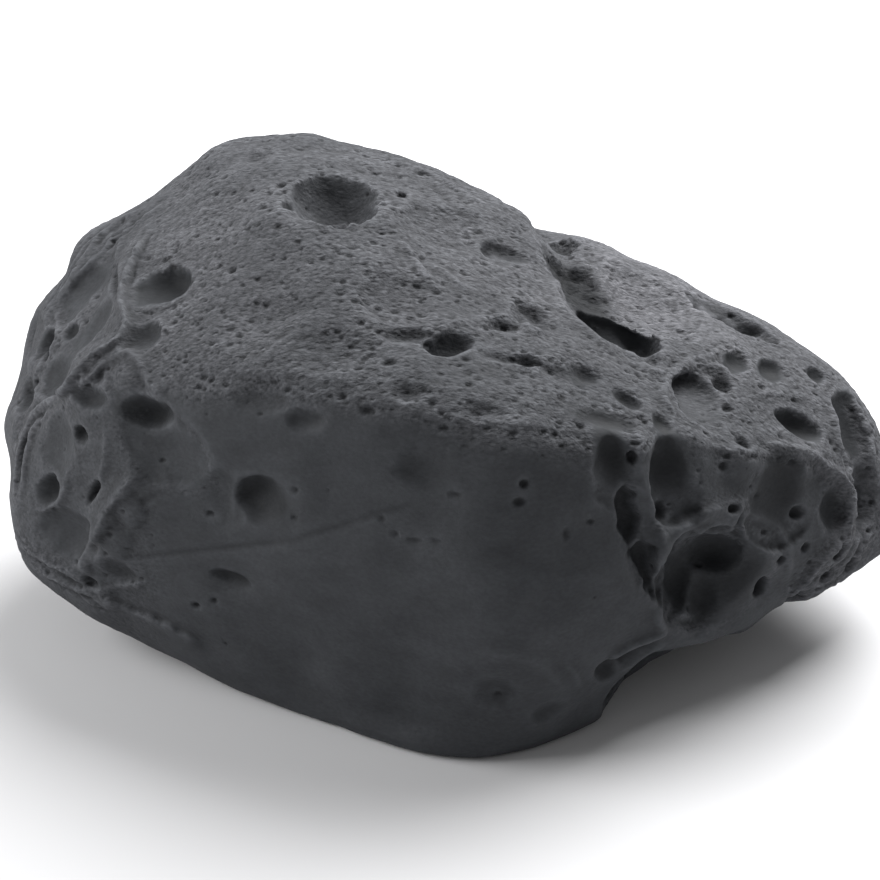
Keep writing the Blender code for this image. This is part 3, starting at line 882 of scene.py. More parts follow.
# %% Hollows and lines of the wall
WALL_HOLLOWS = {
    "scoop_ramp": at((224, 500), (19, 24, 2.0), rim=0.8, tilt=(0.5, 0.2)),
    "scoop": at((262, 500), (23, 18, 4.2), steep=2.6, rim=0.8, tilt=(-1.0, 0.4), uneven=0.04, dark=0.75),
    "wall_dish": at((428, 470), (22, 14, 1.8), rim=0.8, tilt=(-0.6, 0)),
    "slot": at((234, 579), (15, 5.5, 2.6), -8, steep=2.6, rim=0.4, dark=0.5),
    "wall_specks_low": alike([(196, 606, 3.4, 2.6, 2.2, 25), (214, 601, 2.8, 2.2, 1.8),
        (524, 484, 3.4, 3.2, 2.4)], steep=2.5),
    "speck_4": at((519, 502), (5.4, 3.6, 1.6), steep=2.5, rim=0.4),
    "wall_specks": alike([(566, 534, 2.6, 5.0, 1.0), (414, 541, 6.0, 2.4, 1.1), (295, 490, 2.4, 2.2, 1.4),
        (382, 519, 2.8, 2.4, 1.0), (395, 534, 2.8, 2.4, 1.0), (455, 495, 5.4, 2.8, 1.0),
        (436, 541, 3.0, 1.8, 0.8), (294, 518, 2.4, 2.2, 1.0)], steep=2.5),
    "foot_dips": alike([(497, 692, 16, 10, 1.6), (548, 712, 13, 8, 1.4)], rim=0.7),
    "foot_pit": at((605, 671), (9, 12, 4.0), 18, steep=2.4, rim=0.5, tilt=(0.3, 0.3), dark=0.4),
}
WALL_CREASES = {
    "hairline": drawn([(118, 558), (180, 553), (244, 546), (290, 541), (340, 526), (380, 513), (424, 502)],
        1.8, 0.5, form="groove", jitter=0.3, taper=0.1),
    "scoop_lip": drawn([(262, 470), (240, 478), (235, 492), (235, 512), (232, 528)], 2.4, 0.6, jitter=0.3),
    "ripple": drawn([(470, 652), (510, 654), (542, 664), (566, 690)], 5, 0.8, jitter=0.4),
    "ripple_2": drawn([(562, 660), (576, 674), (580, 690)], 2.0, 0.7),
    "foot_rim": drawn([(594, 716), (606, 702), (616, 686), (624, 674)], 2.6, 1.0, rough=0.5),
}
carve_all(WALL_HOLLOWS)
draw_all(crease, WALL_CREASES)

# %% [markdown]
# ## The right end
#
# The right end is the stone's weak side: many bubbles lay close together, so the river has eaten it into
# steps. An open hollow and a row of pits lie along the slope, and below them big shallow bowls break the
# wall. The cave is a wide bowl with deeper hollows in its floor, which are cut last, from that floor.

# %% Hollows of the right end
END_FOLDS = {
    "toe": drawn([(800, 592), (826, 578), (846, 560), (862, 530)], 10, 1.1, rough=0.85),
    "far": drawn([(852, 396), (866, 424), (874, 456), (872, 500)], 7, 0.9, across=2.6, rough=0.8),
    "brink": drawn([(676, 426), (704, 436), (740, 444), (780, 438), (820, 448)], 7, 0.7, rough=0.9),
    "far_slope": drawn([(700, 300), (732, 318), (776, 338), (820, 366)], 8, 0.8, across=2.8, rough=0.9),
}
END_HOLLOWS = {
    "ledge_hollow": at((699, 395), (22, 25, 5.5), steep=3.0, tilt=(-0.5, 0.6), lean=(0.3, -0.4),
        rough=0.6),
    "slope_pits_twin": alike([(736, 363, 10, 11, 2.4, -35), (771, 371, 10, 13, 2.8, -40)], steep=2.6,
        tilt=(-0.3, 0.3), rough=0.1, dark=0.7),
    "slope_pit_3": at((723, 384), (8, 9, 3.2), -20, steep=2.4, rough=0.9, dark=0.4),
    "slope_pit_4": at((816, 374), (8, 8, 3), -35, steep=2.4, rough=0.3),
    "slope_pits_small": alike([(728, 407, 4.4, 4.4, 2.2), (606, 270, 5, 4, 1.8),
        (680, 320, 3.4, 3.4, 1.4)], steep=2.4),
    "slope_slit": at((688, 338), (6, 4, 1.8), -5),
    "far_groove": at((726, 317), (27, 8, 1.6), -25, steep=2.4, tilt=(-0.2, 0.6),
        facing=(0.35, -0.3, 0.88), rough=0.5),
    "slope_dip": at((640, 300), (30, 30, 1.6), -35, rim=0.5),
    "shoulder_pit": at((799, 425), (19, 11, 5), -6, steep=2.6, tilt=(-0.3, 0.3), rough=0.15, dark=0.7),
    "rim_pit": at((743, 442), (7, 5.5, 2.4), -40, rim=0.4),
    "end_dish": at((846, 430), (15, 28, 3.4), steep=2.2, rim=0.4, tilt=(-0.3, 0),
        facing=(0.6, -0.55, 0.58), rough=0.1, dark=0.3),
    "end_dish_low": at((862, 498), (12, 26, 3.4), steep=2.2, rim=0.4, rough=0.5),
}
WALL_BOWLS = {
    "bowl_left": at((614, 460), (13, 22, 4.6), 4, rim=0.4, tilt=(0, 0.8), facing=(0.3, -0.95, 0.1),
        rough=0.08, dark=0.8),
    "bowl_middle": at((673, 469), (18, 25, 5.4), rim=0.4, tilt=(-0.6, 0.6), facing=(0.35, -0.93, 0.1),
        rough=0.08, dark=0.7),
    "bowl_right": at((781, 490), (24, 28, 2.8), rim=1.4, tilt=(0, 0.6), facing=(0.5, -0.86, 0.1),
        rough=0.08, dark=0.7),
    "bowl_far": at((834, 510), (12, 17, 3.4), steep=2.2, rim=0.4, rough=0.15, dark=0.4),
    "rib_pit": at((633, 457), (4, 5, 3.0), steep=2.5),
    "gutter": at((630, 522), (24, 9, 6.5), -72, steep=3.0, rim=0.4, uneven=0.25, rough=0.25, dark=0.5),
    "gutter_low": at((646, 563), (21, 6.5, 5.5), -72, steep=3.0, rim=0.4, uneven=0.25, rough=0.25,
        dark=0.5),
    "cave_bowl": at((722, 582), (42, 35, 8), rim=0.6, tilt=(-0.5, 0.4), uneven=0.04,
        facing=(0.4, -0.9, 0.1), rough=0.06, dark=0.5),
    "beside_keyhole": at((688, 511), (8, 8, 1.8), steep=2.4, rim=0.4, rough=0.1, dark=0.4),
    "arch_slit": at((735, 509), (6, 4, 3.0), steep=3),
    "arch_wedge": at((741, 524), (4, 8, 1.8), -20),
    "round_pit": at((761, 588), (7, 10, 7), steep=3.5, rough=0.05, dark=0.7),
    "round_pit_tip": at((783, 561), (4, 3.6, 2.4), steep=2.6),
    "bowl_right_pit": at((797, 513), (6, 6, 3.2), steep=2.6, rim=0.4, rough=0.1),
    "wall_end_specks": alike([(806, 548, 5, 4.4, 2.6), (723, 467, 3.4, 4, 1.8),
        (757, 496, 2.6, 2.6, 1.4)], steep=2.6),
    "under_toe": at((792, 600), (9, 9, 4), steep=2.4, rim=0.4),
    "toe_holes": alike([(840, 552, 7, 10, 4.0, -30), (852, 566, 8, 6, 3.0, 40),
        (828, 576, 8, 5, 3.0, 30)], steep=2.4),
    "foot_speck": at((629, 650), (2.8, 2.6, 1.8), steep=2.5),
}
INNER_HOLLOWS = {
    "cave_core": at((713, 554), (20, 15, 7), rim=2.5, uneven=0.05, facing=(0.05, -0.9, 0.4), rough=0.05,
        dark=0.6),
    "cave_low": at((681, 578), (14, 24, 6), steep=2.4, rim=2.0, facing=(0.05, -0.9, 0.4), rough=0.1,
        dark=0.6),
    "cave_lobe": at((703, 596), (10, 18, 4), rim=2.5, facing=(0.05, -0.9, 0.4), rough=0.1, dark=0.6),
    "keyhole": at((660, 512), (6, 7.5, 4), steep=3.0, rough=0.1, dark=0.7),
}
draw_all(fold, END_FOLDS)
carve_all(END_HOLLOWS)
carve_all(WALL_BOWLS)
carve_all(INNER_HOLLOWS)

# %% [markdown]
# A ledge runs round the open hollow. A rib, the arch over the cave and a thin post of stone beside it are
# what is left between the bowls. The far face turns away behind a scarp, and worn layers lie at its foot.

# %% Creases of the right end
END_CREASES = {
    "ledge": drawn([(680, 421), (667, 408), (662, 392), (666, 378), (682, 370), (704, 365), (722, 370),
        (728, 380)], 3.4, 1.8, taper=0.1, rough=0.9),
    "ledge_outer": drawn([(628, 354), (648, 370), (664, 375), (690, 361), (722, 351)], 3, 1.2, rough=0.9),
    "far_lip": drawn([(692, 301), (712, 314), (734, 328), (764, 335)], 2.8, 2.4, form="groove", taper=0.1),
    "slope_ridge": drawn([(740, 400), (764, 394), (792, 394), (820, 404)], 3, 0.9, rough=0.9),
    "rib": drawn([(640, 430), (640, 452), (640, 476), (648, 496), (656, 520)], 3.4, 1.4, taper=0.1),
    "knuckle": drawn([(626, 486), (640, 486), (648, 496)], 2.8, 1.2),
    "arch": drawn([(663, 562), (668, 546), (680, 537), (700, 530), (722, 530), (742, 541)], 2.8, 1.4,
        jitter=0.3, taper=0.1),
    "arch_upper": drawn([(665, 540), (672, 528), (690, 519), (708, 511), (726, 507)], 2.6, 1.4,
        jitter=0.4),
    "arch_layer": drawn([(668, 546), (680, 531), (698, 521), (714, 515)], 2.0, 1.0, jitter=0.4),
    "post": drawn([(656, 520), (663, 536), (661, 566), (659, 596), (658, 620), (666, 634)], 2.8, 1.8,
        jitter=0.3, taper=0.08),
    "bulge_edge": drawn([(744, 514), (760, 519), (776, 526), (786, 543), (790, 564), (786, 584)], 2.8, 1.2,
        jitter=0.3),
    "scarp": drawn([(764, 444), (784, 448), (802, 450), (816, 456), (826, 467), (842, 476), (852, 492),
        (850, 515), (847, 536), (834, 548), (820, 562), (806, 580), (790, 596)], 3.4, 2.0, taper=0.05,
        rough=0.9, band=1.8),
    "scarp_crack": drawn([(838, 468), (856, 490), (858, 516), (854, 540)], 2.0, 1.4, form="groove"),
    "end_edge": drawn([(826, 396), (834, 420), (839, 446), (850, 474)], 2.8, 1.6, taper=0.1, rough=0.8),
    "far_rim": drawn([(848, 394), (862, 420), (871, 446), (877, 472)], 2.6, 1.4, rough=0.8, band=2.2),
    "rough_rim": drawn([(680, 432), (704, 444), (734, 451), (766, 452), (790, 446)], 3, 1.2, rough=0.9),
    "toe_layer_1": drawn([(796, 594), (816, 590), (836, 584), (854, 572)], 2.2, 1.4, rough=0.8, band=2.4),
    "toe_layer_2": drawn([(822, 566), (836, 560), (848, 545), (856, 526)], 2.0, 1.4, rough=0.8, band=2.4),
    "toe_layer_3": drawn([(842, 572), (856, 560), (866, 544), (868, 526)], 2.0, 1.2, rough=0.8),
    "foot_step": drawn([(608, 658), (628, 646), (650, 638), (668, 630)], 3, 2.2, taper=0.1),
    "foot_step_low": drawn([(618, 674), (636, 660), (652, 650), (668, 642)], 2.4, 1.2),
    "foot_gap": drawn([(612, 664), (634, 652), (660, 640)], 3, 2.6, form="groove"),
}
draw_all(crease, END_CREASES)

# %% [markdown]
# ## The sides that lie away
#
# A stone is looked at from all round, so the back and the ends get the same kinds of hollows. Each is placed
# by a level line of sight from its own side.

# %% Hollows of the back and the ends
AWAY_HOLLOWS = {
    "back_crater": at((-81, 92), (30, 25, 12), 15, side="back", steep=3.2, rim=0.4, rough=0.1),
    "back_pit_high": at((9, 104), (20, 15, 8), -30, side="back", steep=3, rim=0.4, rough=0.1),
    "back_pit_low": at((21, 46), (13, 11, 8), side="back", steep=3.2, rough=0.1),
    "back_slot": at((-51, 44), (28, 8, 6), 12, side="back", steep=2.6, rim=0.4, rough=0.3),
    "back_dishes": alike([(-30, 92, 34, 26, 3, 20), (52, 70, 36, 24, 3, -15), (-12, 40, 30, 22, 2.6, 10),
        (90, 44, 28, 22, 3, 30), (-106, 58, 26, 24, 3, -30)], side="back", rim=0.5, rough=0.4),
    "back_pits": alike([(60, 80, 9, 8, 4), (80, 52, 12, 8, 4, 40), (-20, 70, 8, 8, 4),
        (-110, 60, 12, 9, 4, 20), (-98, 112, 9, 7, 3.5, -20), (100, 66, 8, 7, 3.5), (40, 30, 7, 6, 3),
        (-68, 66, 6, 6, 3)], side="back", steep=2.6),
    "end_pit": at((22, 62), (15, 12, 7), side="right", steep=3, rim=0.4, rough=0.1),
    "end_pit_low": at((4, 48), (8, 7, 4), side="right", steep=2.8),
    "end_pit_high": at((44, 74), (10, 8, 4), 30, side="right", steep=2.6),
    "left_saucer": at((46, 48), (24, 18, 6), side="left", steep=2.4, rim=0.5, rough=0.1),
    "left_dishes": alike([(24, 52, 24, 22, 3, 20), (66, 74, 28, 20, 3, -20)], side="left", rim=0.4,
        rough=0.2),
    "left_pit": at((28, 66), (8, 10, 4), side="left", steep=2.6),
    "left_pit_high": at((62, 88), (11, 9, 4), 20, side="left", steep=2.6),
}
carve_all(AWAY_HOLLOWS)

# %% [markdown]
# ## A finer skin for the grain
#
# Cutting has stretched the grid on steep walls, so the skin is laid out once more on a finer grid. A remesh
# drops the marks, so they are read back from the nearest point of the old skin.

# %% Lay out the fine skin
FINE_GRID = 0.75
FINE_PASSES = 1

skin = relaid(skin, FINE_GRID, FINE_PASSES)

# %% [markdown]
# ## Grain and pores by Geometry Nodes
#
# Thousands of pores repeat all over the crust, so nodes make them. The tree scatters points over the skin,
# more where it is rough, and gives each a radius. Then every point of the skin looks for the pore nearest
# to it, and sinks by how far inside that pore it lies. That is far cheaper than cutting thousands of balls,
# and neighbours run into each other just as bubbles do. Noise lifts and lowers the crust between them. Both
# are drawn out along the stone's length, as the lava flowed while it cooled.
#
# `CRUST` names the tree's inputs and their values. Lengths are in metres, and densities are pores to the
# square metre where the stone is fully rough.

# %% The node tree
CRUST = {
    "Grain Height": 1.4 * MM, "Grain Size": 3.2 * MM, "Lump Height": 2.2 * MM, "Lump Size": 15 * MM,
    "Large Pore Density": 200.0, "Large Pore Least": 1.0 * MM, "Large Pore Most": 2.2 * MM,
    "Small Pore Density": 60000.0, "Small Pore Least": 0.6 * MM, "Small Pore Most": 1.4 * MM,
    "Pore Depth": 0.55, "Seed": 7,
}
DRAWN_OUT = (0.6, 1, 1)
ROUGH_POWER = 2.0
SMALL_PORES_POWER = 2.5
WANDER_SCALE = 300.0
PORE_WALL_FROM = 1.0
PORE_WALL_TO = 0.35
GRAIN_DETAIL = 3.0
LUMP_DETAIL = 1.0


class Tree:
    """Adds nodes by name and joins them, so that a tree reads like a recipe."""

    def __init__(self, tree):
        self.tree = tree

    def add(self, kind, settings=None, **inputs):
        """A new node. Its inputs are numbers or other nodes' sockets, by name, or by place as i0, i1, i2."""
        node = self.tree.nodes.new(kind)
        for key, value in (settings or {}).items():
            setattr(node, key, value)
        for key, value in inputs.items():
            socket = node.inputs[int(key[1:])] if key[0] == "i" and key[1:].isdigit() else node.inputs[key]
            if isinstance(value, bpy.types.NodeSocket):
                self.tree.links.new(value, socket)
            else:
                socket.default_value = value
        return node

    def maths(self, operation, a, b):
        """The result of a sum with two numbers."""
        return self.add("ShaderNodeMath", dict(operation=operation), i0=a, i1=b).outputs[0]

    def vector(self, operation, a, b, output=0):
        """The result of a sum with two vectors."""
        return self.add("ShaderNodeVectorMath", dict(operation=operation), i0=a, i1=b).outputs[output]

    def scaled(self, vector, factor):
        """A vector or a colour times a number."""
        return self.add("ShaderNodeVectorMath", dict(operation="SCALE"), i0=vector, Scale=factor).outputs[0]

    def stretch(self, value, low, high, to_low=0.0, to_high=1.0, **settings):
        """The value, stretched so that low becomes to_low and high becomes to_high."""
        ends = {"Value": value, "From Min": low, "From Max": high, "To Min": to_low, "To Max": to_high}
        return self.add("ShaderNodeMapRange", settings, **ends).outputs[0]

    def value_at(self, points, index, value, kind):
        """The value that the point with that index has."""
        node = self.add("GeometryNodeSampleIndex", dict(data_type=kind, domain="POINT"), Geometry=points,
                        Index=index)
        self.tree.links.new(value, node.inputs["Value"])
        return node.outputs[0]

    def own(self, name):
        """A mark of the skin, in a tree of Geometry Nodes."""
        return self.add("GeometryNodeInputNamedAttribute", dict(data_type="FLOAT"), Name=name).outputs[0]

    def moved(self, geometry, along, distance):
        """The geometry, moved by a distance along a direction."""
        return self.add("GeometryNodeSetPosition", Geometry=geometry,
                        Offset=self.scaled(along, distance)).outputs[0]


def pore_pass(t, geometry, position, normal, rough, density, least, most, depth, seed):
    """Sinks the geometry into scattered pores. Radii crowd towards the least, as bubbles do."""
    spread = t.add("GeometryNodeDistributePointsOnFaces", dict(distribute_method="RANDOM"), Mesh=geometry,
                   Density=t.maths("MULTIPLY", density, t.maths("POWER", rough, ROUGH_POWER)), Seed=seed)
    chance = t.add("FunctionNodeRandomValue", dict(data_type="FLOAT"), Seed=seed).outputs[1]
    crowd = t.maths("POWER", chance, SMALL_PORES_POWER)
    radius = t.maths("ADD", least, t.maths("MULTIPLY", crowd, t.maths("SUBTRACT", most, least)))
    pores = t.add("GeometryNodeStoreNamedAttribute", dict(data_type="FLOAT", domain="POINT"),
                  Geometry=spread.outputs["Points"], Name="pore_radius", Value=radius).outputs[0]
    wander = t.add("ShaderNodeTexNoise", dict(noise_dimensions="3D"), Vector=position, Scale=WANDER_SCALE,
                   Detail=1.0)
    shift = t.scaled(t.vector("SUBTRACT", wander.outputs["Color"], (0.5, 0.5, 0.5)),
                     t.maths("MULTIPLY", most, 0.5))
    asked = t.vector("ADD", position, shift)
    nearest = t.add("GeometryNodeSampleNearest", dict(domain="POINT"), Geometry=pores,
                    **{"Sample Position": asked}).outputs[0]
    here = t.add("GeometryNodeInputPosition").outputs[0]
    where = t.value_at(pores, nearest, here, "FLOAT_VECTOR")
    size = t.value_at(pores, nearest, t.own("pore_radius"), "FLOAT")
    drawn_out = [t.vector("MULTIPLY", spot, DRAWN_OUT) for spot in (asked, where)]
    share = t.maths("DIVIDE", t.vector("DISTANCE", *drawn_out, output="Value"), size)
    bowl = t.stretch(share, PORE_WALL_FROM, PORE_WALL_TO, interpolation_type="SMOOTHSTEP")
    sink = t.maths("MULTIPLY", t.maths("MULTIPLY", bowl, size), t.maths("MULTIPLY", depth, -1.0))
    return t.moved(geometry, normal, sink)


def crust_tree(material):
    """The tree: grain first, then large pores, then small ones."""
    t = Tree(bpy.data.node_groups.new("crust", "GeometryNodeTree"))
    face = t.tree.interface
    face.new_socket("Geometry", in_out="INPUT", socket_type="NodeSocketGeometry")
    face.new_socket("Geometry", in_out="OUTPUT", socket_type="NodeSocketGeometry")
    for name, value in CRUST.items():
        kind = "NodeSocketInt" if isinstance(value, int) else "NodeSocketFloat"
        face.new_socket(name, in_out="INPUT", socket_type=kind)
    given = t.add("NodeGroupInput").outputs
    position = t.add("GeometryNodeInputPosition").outputs[0]
    normal = t.add("GeometryNodeInputNormal").outputs[0]
    rough = t.own("rough")
    drawn_out = t.vector("MULTIPLY", position, DRAWN_OUT)

    def waves(kind, detail):
        """Noise above and below 0, as high as the stone is rough."""
        texture = t.add("ShaderNodeTexNoise", dict(noise_dimensions="3D"), Vector=drawn_out,
                        Scale=t.maths("DIVIDE", 1.0, given[kind + " Size"]), Detail=detail, Roughness=0.6)
        centred = t.maths("SUBTRACT", texture.outputs[0], 0.5)
        return t.maths("MULTIPLY", t.maths("MULTIPLY", centred, given[kind + " Height"]), rough)

    crust = t.moved(given["Geometry"], normal, t.maths("ADD", waves("Grain", GRAIN_DETAIL),
                                                       waves("Lump", LUMP_DETAIL)))
    for kind, seed in (("Large", given["Seed"]), ("Small", t.maths("ADD", given["Seed"], 1.0))):
        sizes = [given[kind + " Pore " + part] for part in ("Density", "Least", "Most")]
        crust = pore_pass(t, crust, position, normal, rough, *sizes, given["Pore Depth"], seed)
    real = t.add("GeometryNodeRealizeInstances", Geometry=crust)
    done = t.add("GeometryNodeSetMaterial", Geometry=real.outputs[0], Material=material)
    t.tree.links.new(done.outputs[0], t.add("NodeGroupOutput").inputs[0])
    return t.tree


# %% [markdown]
# ## The material
#
# Basalt is dark blue-grey. On the crust a thin dust lies in the grain and makes it paler. The same pale
# share
# also paints light and shade: the upward top and the right slope are painted paler, the front half painted
# darker, and the polished wall stays dark, partly bare stone and partly painted shade. Patches and specks of
# tone wander over both, crests get a painted highlight, pits a painted shade, and the insides of the large
# bubbles the darkest painted shade. Below what the mesh can hold, bump makes the finest pores and the grain
# of the crystals. All patterns read Object coordinates, so they stay on the stone.

# %% Stone material
DARK_STONE = (0.041, 0.0435, 0.048)
# The pale end: dusty stone, and the painted light of the top and the right slope.
PALE_STONE = (0.0895, 0.091, 0.099)
# Each mottling: the size of its patches in mm, and what it runs between.
DUST_MOTTLE = dict(size=22, span=(0.6, 1.0))
SHADE_MOTTLE = dict(size=9, span=(0.86, 1.14), detail=4.0)
SPECKS = dict(size=1.1, span=(-0.32, 0.32), middle=(0.35, 0.65))
GLOSS_MOTTLE = dict(size=5, span=(-0.05, 0.05))
SPECKS_ON_SMOOTH = 0.2
# Painted shade in pits to painted highlight on crests, as shares of the colour.
PIT_TO_CREST = (0.5, 1.55)
# The darkest painted shade inside a hollow, as a share of the colour.
DEEPEST_PAINTED_SHADE = 0.38
SHEEN_SMOOTH_TO_ROUGH = (0.76, 0.9)
SPECULAR = 0.2
FINE_PORE_SIZE = 1.9 * MM
FINE_PORE_WALL = (0.12, 0.42)
FINE_PORE_SHARE = 0.5
CRYSTALS = dict(size=0.9, detail=3.0, roughness=0.65)
CRYSTAL_SHARE = 0.9
BUMP_SMOOTH_TO_ROUGH = (0.1, 0.75)
BUMP_HEIGHT = 0.9 * MM


def stone_material():
    """The stone's one material. It reads the marks that the mesh carries."""
    material = bpy.data.materials.new("volcanic_stone")
    material.use_nodes = True
    t = Tree(material.node_tree)
    shader = t.tree.nodes["Principled BSDF"]
    place = t.add("ShaderNodeTexCoord").outputs["Object"]
    drawn_out = t.vector("MULTIPLY", place, DRAWN_OUT)

    def mark(name):
        """A mark of the mesh."""
        return t.add("ShaderNodeAttribute", dict(attribute_name=name)).outputs["Fac"]

    def patches(size, detail, roughness=0.55):
        """Noise between 0 and 1, in patches of a size in mm."""
        return t.add("ShaderNodeTexNoise", Vector=drawn_out, Scale=1 / (size * MM), Detail=detail,
                     Roughness=roughness).outputs[0]

    def mottle(size, span, detail=3.0, middle=(0.3, 0.7)):
        """Noise whose middle values are stretched over a span."""
        return t.stretch(patches(size, detail), *middle, *span)

    rough = mark("rough")
    # The pale share: real dust on rough crust, and painted light and shade by side and by place.
    pale = t.maths("MULTIPLY", mark("dust"), mottle(**DUST_MOTTLE))
    base = t.add("ShaderNodeMix", dict(data_type="RGBA", clamp_factor=False), Factor=pale,
                 i6=(*DARK_STONE, 1), i7=(*PALE_STONE, 1))
    speck = t.maths("MULTIPLY", mottle(**SPECKS), t.stretch(rough, 0.0, 1.0, SPECKS_ON_SMOOTH, 1.0))
    patch = t.maths("MULTIPLY", mottle(**SHADE_MOTTLE), t.maths("ADD", speck, 1.0))
    # Painted shade in pits and a painted highlight on crests.
    edge = t.stretch(mark("relief_light_and_shade"), -1.0, 1.0, *PIT_TO_CREST)
    # Painted shade inside the hollows.
    hollow_shade = t.stretch(mark("dark"), 0.0, 1.0, 1.0, DEEPEST_PAINTED_SHADE)
    shade = t.maths("MULTIPLY", patch, t.maths("MULTIPLY", edge, hollow_shade))
    t.tree.links.new(t.scaled(base.outputs[2], shade), shader.inputs["Base Color"])
    sheen = t.stretch(rough, 0.0, 1.0, *SHEEN_SMOOTH_TO_ROUGH)
    t.tree.links.new(t.maths("ADD", sheen, mottle(**GLOSS_MOTTLE)), shader.inputs["Roughness"])
    shader.inputs["Specular IOR Level"].default_value = SPECULAR

    cells = t.add("ShaderNodeTexVoronoi", dict(feature="F1"), Vector=drawn_out, Scale=1 / FINE_PORE_SIZE)
    pore = t.stretch(cells.outputs["Distance"], *FINE_PORE_WALL)
    crystals = t.maths("MULTIPLY", patches(**CRYSTALS), CRYSTAL_SHARE)
    height = t.maths("ADD", t.maths("MULTIPLY", pore, FINE_PORE_SHARE), crystals)
    bump = t.add("ShaderNodeBump", Height=height, Distance=BUMP_HEIGHT,
                 Strength=t.stretch(rough, 0.0, 1.0, *BUMP_SMOOTH_TO_ROUGH))
    t.tree.links.new(bump.outputs[0], shader.inputs["Normal"])
    return material


stone = stone_material()
tell("material made of", len(stone.node_tree.nodes), "nodes")

# %% [markdown]
# ## Put the crust on
#
# The modifier's inputs are set by each socket's identifier. Once the crust is on, each point is told how far
# it stands out from its surroundings, from which the material paints a highlight on crests and shade in
# pits.
# Then a collapse brings the mesh under two hundred thousand triangles: faces stay small where the skin bends
# and grow where it is smooth, as on the polished wall.

# %% Make the rock
MOST_TRIANGLES = 196000
BULGE_PASSES = 5
BULGE_HEIGHT = 0.3
# Painted light and shade in the dust: the front half painted darker, the crown darker, the right slope
# paler.
FRONT_PAINTED_SHADE = 0.55
CROWN_DARKENING = 0.35
SLOPE_PAINTED_LIGHT = 0.85
# Where the front's painted shade, the crown's darkening and the slope's painted light fade in, and where the
# slope's painted light fades out again, in mm.
BEFORE_MIDDLE = (0, 60)
CROWN_HEIGHT = (136, 150)
SLOPE_BEGINS = (35, 60)
SLOPE_ENDS = (92, 112)
SLOPE_BACK = (-15, 20)


def bulging(mesh, passes):
    """How far each point stands out from the mean of its neighbours, in mm: above 0 on crests."""
    count = len(mesh.vertices)
    points, out = (np.empty(3 * count, np.float32) for _ in range(2))
    mesh.vertices.foreach_get("co", points)
    mesh.vertices.foreach_get("normal", out)
    a, b = edge_ends(mesh)
    here, there = np.concatenate([a, b]), np.concatenate([b, a])
    mean = points.reshape(-1, 3).astype(np.float64)
    number = np.bincount(here, minlength=count)[:, None]
    for _ in range(passes):
        mean = np.stack([np.bincount(here, mean[there, i], count) for i in range(3)], axis=1) / number
    return ((points.reshape(-1, 3) - mean) * out.reshape(-1, 3)).sum(axis=1) / MM


def dust():
    """Pale dust where the crust is rough, as on the upward top, and none in the hollows' painted shade.

    The same number paints light and shade too: painted shade over the front half, a darker crown, and
    painted light on the right slope. The pale top and the dark wall are partly painted light and shade.
    """
    x, y, z = skin.points.T
    darker_front_and_crown = FRONT_PAINTED_SHADE * ease_mm(-y, BEFORE_MIDDLE) + CROWN_DARKENING * ease_mm(z, CROWN_HEIGHT)
    painted_slope_light = ease_mm(x, SLOPE_BEGINS) * (1 - ease_mm(x, SLOPE_ENDS)) * ease_mm(y, SLOPE_BACK)
    return skin.mark("rough") * (1 - darker_front_and_crown + SLOPE_PAINTED_LIGHT * painted_slope_light) * (1 - skin.mark("dark"))


def plain(obj):
    """Gives the object the mesh that its modifiers make."""
    graph = bpy.context.evaluated_depsgraph_get()
    mesh = bpy.data.meshes.new_from_object(obj.evaluated_get(graph), depsgraph=graph)
    obj.modifiers.clear()
    obj.data = mesh


def put_mark(mesh, name, values):
    """Stores one number at each point of a mesh."""
    mesh.attributes.new(name, "FLOAT", "POINT").data.foreach_set("value", values)


skin.mark("dust")[:] = dust()
for name, values in skin.marks.items():
    put_mark(skin.mesh, name, values)
rock = placed("river_rock", skin.mesh)
crust = rock.modifiers.new("crust", "NODES")
crust.node_group = crust_tree(stone)
for socket in crust.node_group.interface.items_tree:
    if socket.in_out == "INPUT" and socket.name in CRUST:
        crust[socket.identifier] = CRUST[socket.name]
plain(rock)
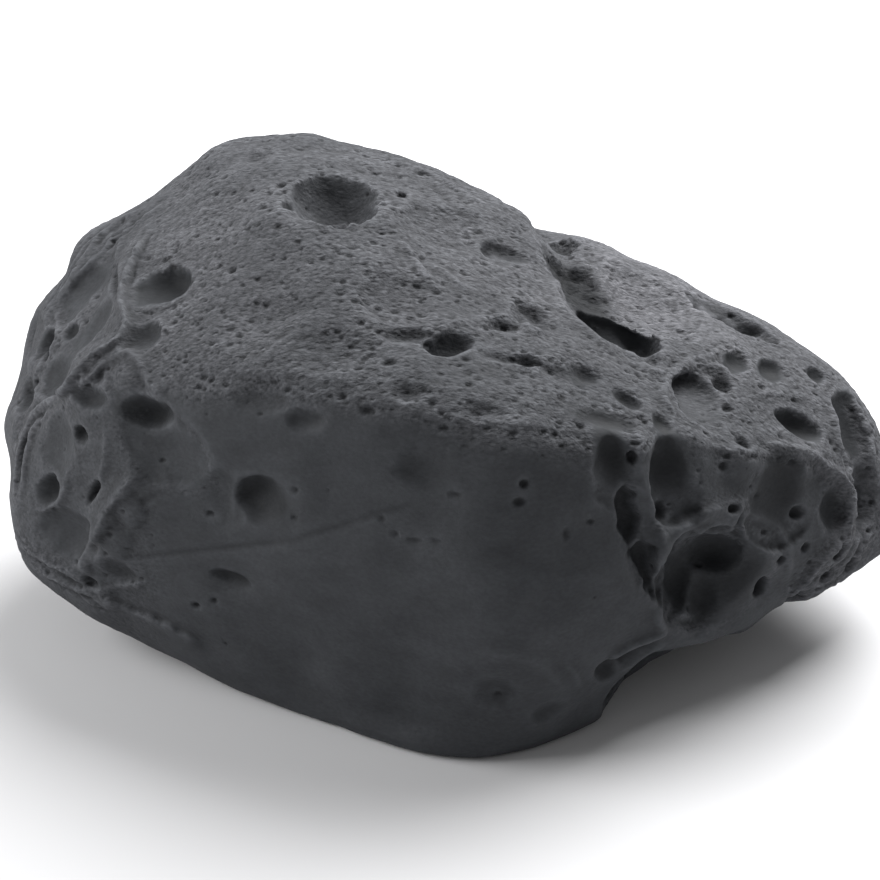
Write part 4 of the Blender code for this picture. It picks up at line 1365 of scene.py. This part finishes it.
# Painted shade in pits and painted highlights on crests, from how far each point stands out; none in
# hollows.
relief_light_and_shade = np.clip(bulging(rock.data, BULGE_PASSES) / BULGE_HEIGHT, -1, 1) * (1 - skin.mark("dark"))
put_mark(rock.data, "relief_light_and_shade", relief_light_and_shade.astype(np.float32))
tell("crust on")
thin = rock.modifiers.new("thin", "DECIMATE")
thin.ratio = MOST_TRIANGLES / sum(len(face.vertices) - 2 for face in rock.data.polygons)
plain(rock)
rock.data.shade_smooth()
tell("rock:", len(rock.data.polygons), "faces")

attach(rock, "root")
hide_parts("rock")

# %% [markdown]
# ## Floor and light
#
# A pale, plain floor and soft studio light. One large soft light hangs above and a little behind the stone,
# so the top is bright and the front wall is dark. A weaker one on the left draws the flank's crests.

# %% Studio
FLOOR_SIZE = 6.0
FLOOR_COLOUR = (0.69, 0.69, 0.70)
FLOOR_ROUGHNESS = 0.9
# Each light: where it hangs and how wide it is, in metres, and its power in watts.
LIGHTS = {
    "top_light": ((0.4, 0.55, 1.0), 0.9, 31),
    "left_light": ((-1.0, 0.0, 0.55), 0.6, 10.5),
}
SKY = 0.25


def plain_floor():
    """A large, flat, pale sheet under the stone."""
    mesh = bpy.data.meshes.new("floor")
    sheet = bmesh.new()
    bmesh.ops.create_grid(sheet, x_segments=1, y_segments=1, size=FLOOR_SIZE / 2)
    sheet.to_mesh(mesh)
    sheet.free()
    paint = bpy.data.materials.new("floor")
    paint.use_nodes = True
    shader = paint.node_tree.nodes["Principled BSDF"]
    shader.inputs["Base Color"].default_value = (*FLOOR_COLOUR, 1)
    shader.inputs["Roughness"].default_value = FLOOR_ROUGHNESS
    mesh.materials.append(paint)
    return placed("floor", mesh)


def soft_light(name, place, size, watts):
    """A square light that looks at the stone."""
    lamp = bpy.data.lights.new(name, "AREA")
    lamp.size = size
    lamp.energy = watts
    made = placed(name, lamp)
    made.location = place
    made.rotation_mode = "QUATERNION"
    made.rotation_quaternion = (AIM - Vector(place)).to_track_quat("-Z", "Y")


plain_floor()
for name, given in LIGHTS.items():
    soft_light(name, *given)
world = bpy.data.worlds.new("studio")
world.use_nodes = True
background = world.node_tree.nodes["Background"]
background.inputs["Color"].default_value = (1, 1, 1, 1)
background.inputs["Strength"].default_value = SKY
bpy.context.scene.world = world
bpy.context.scene.view_settings.view_transform = "Standard"
tell("floor and lights:", ", ".join(LIGHTS))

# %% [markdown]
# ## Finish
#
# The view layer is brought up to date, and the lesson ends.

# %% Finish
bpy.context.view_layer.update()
tell("all done")
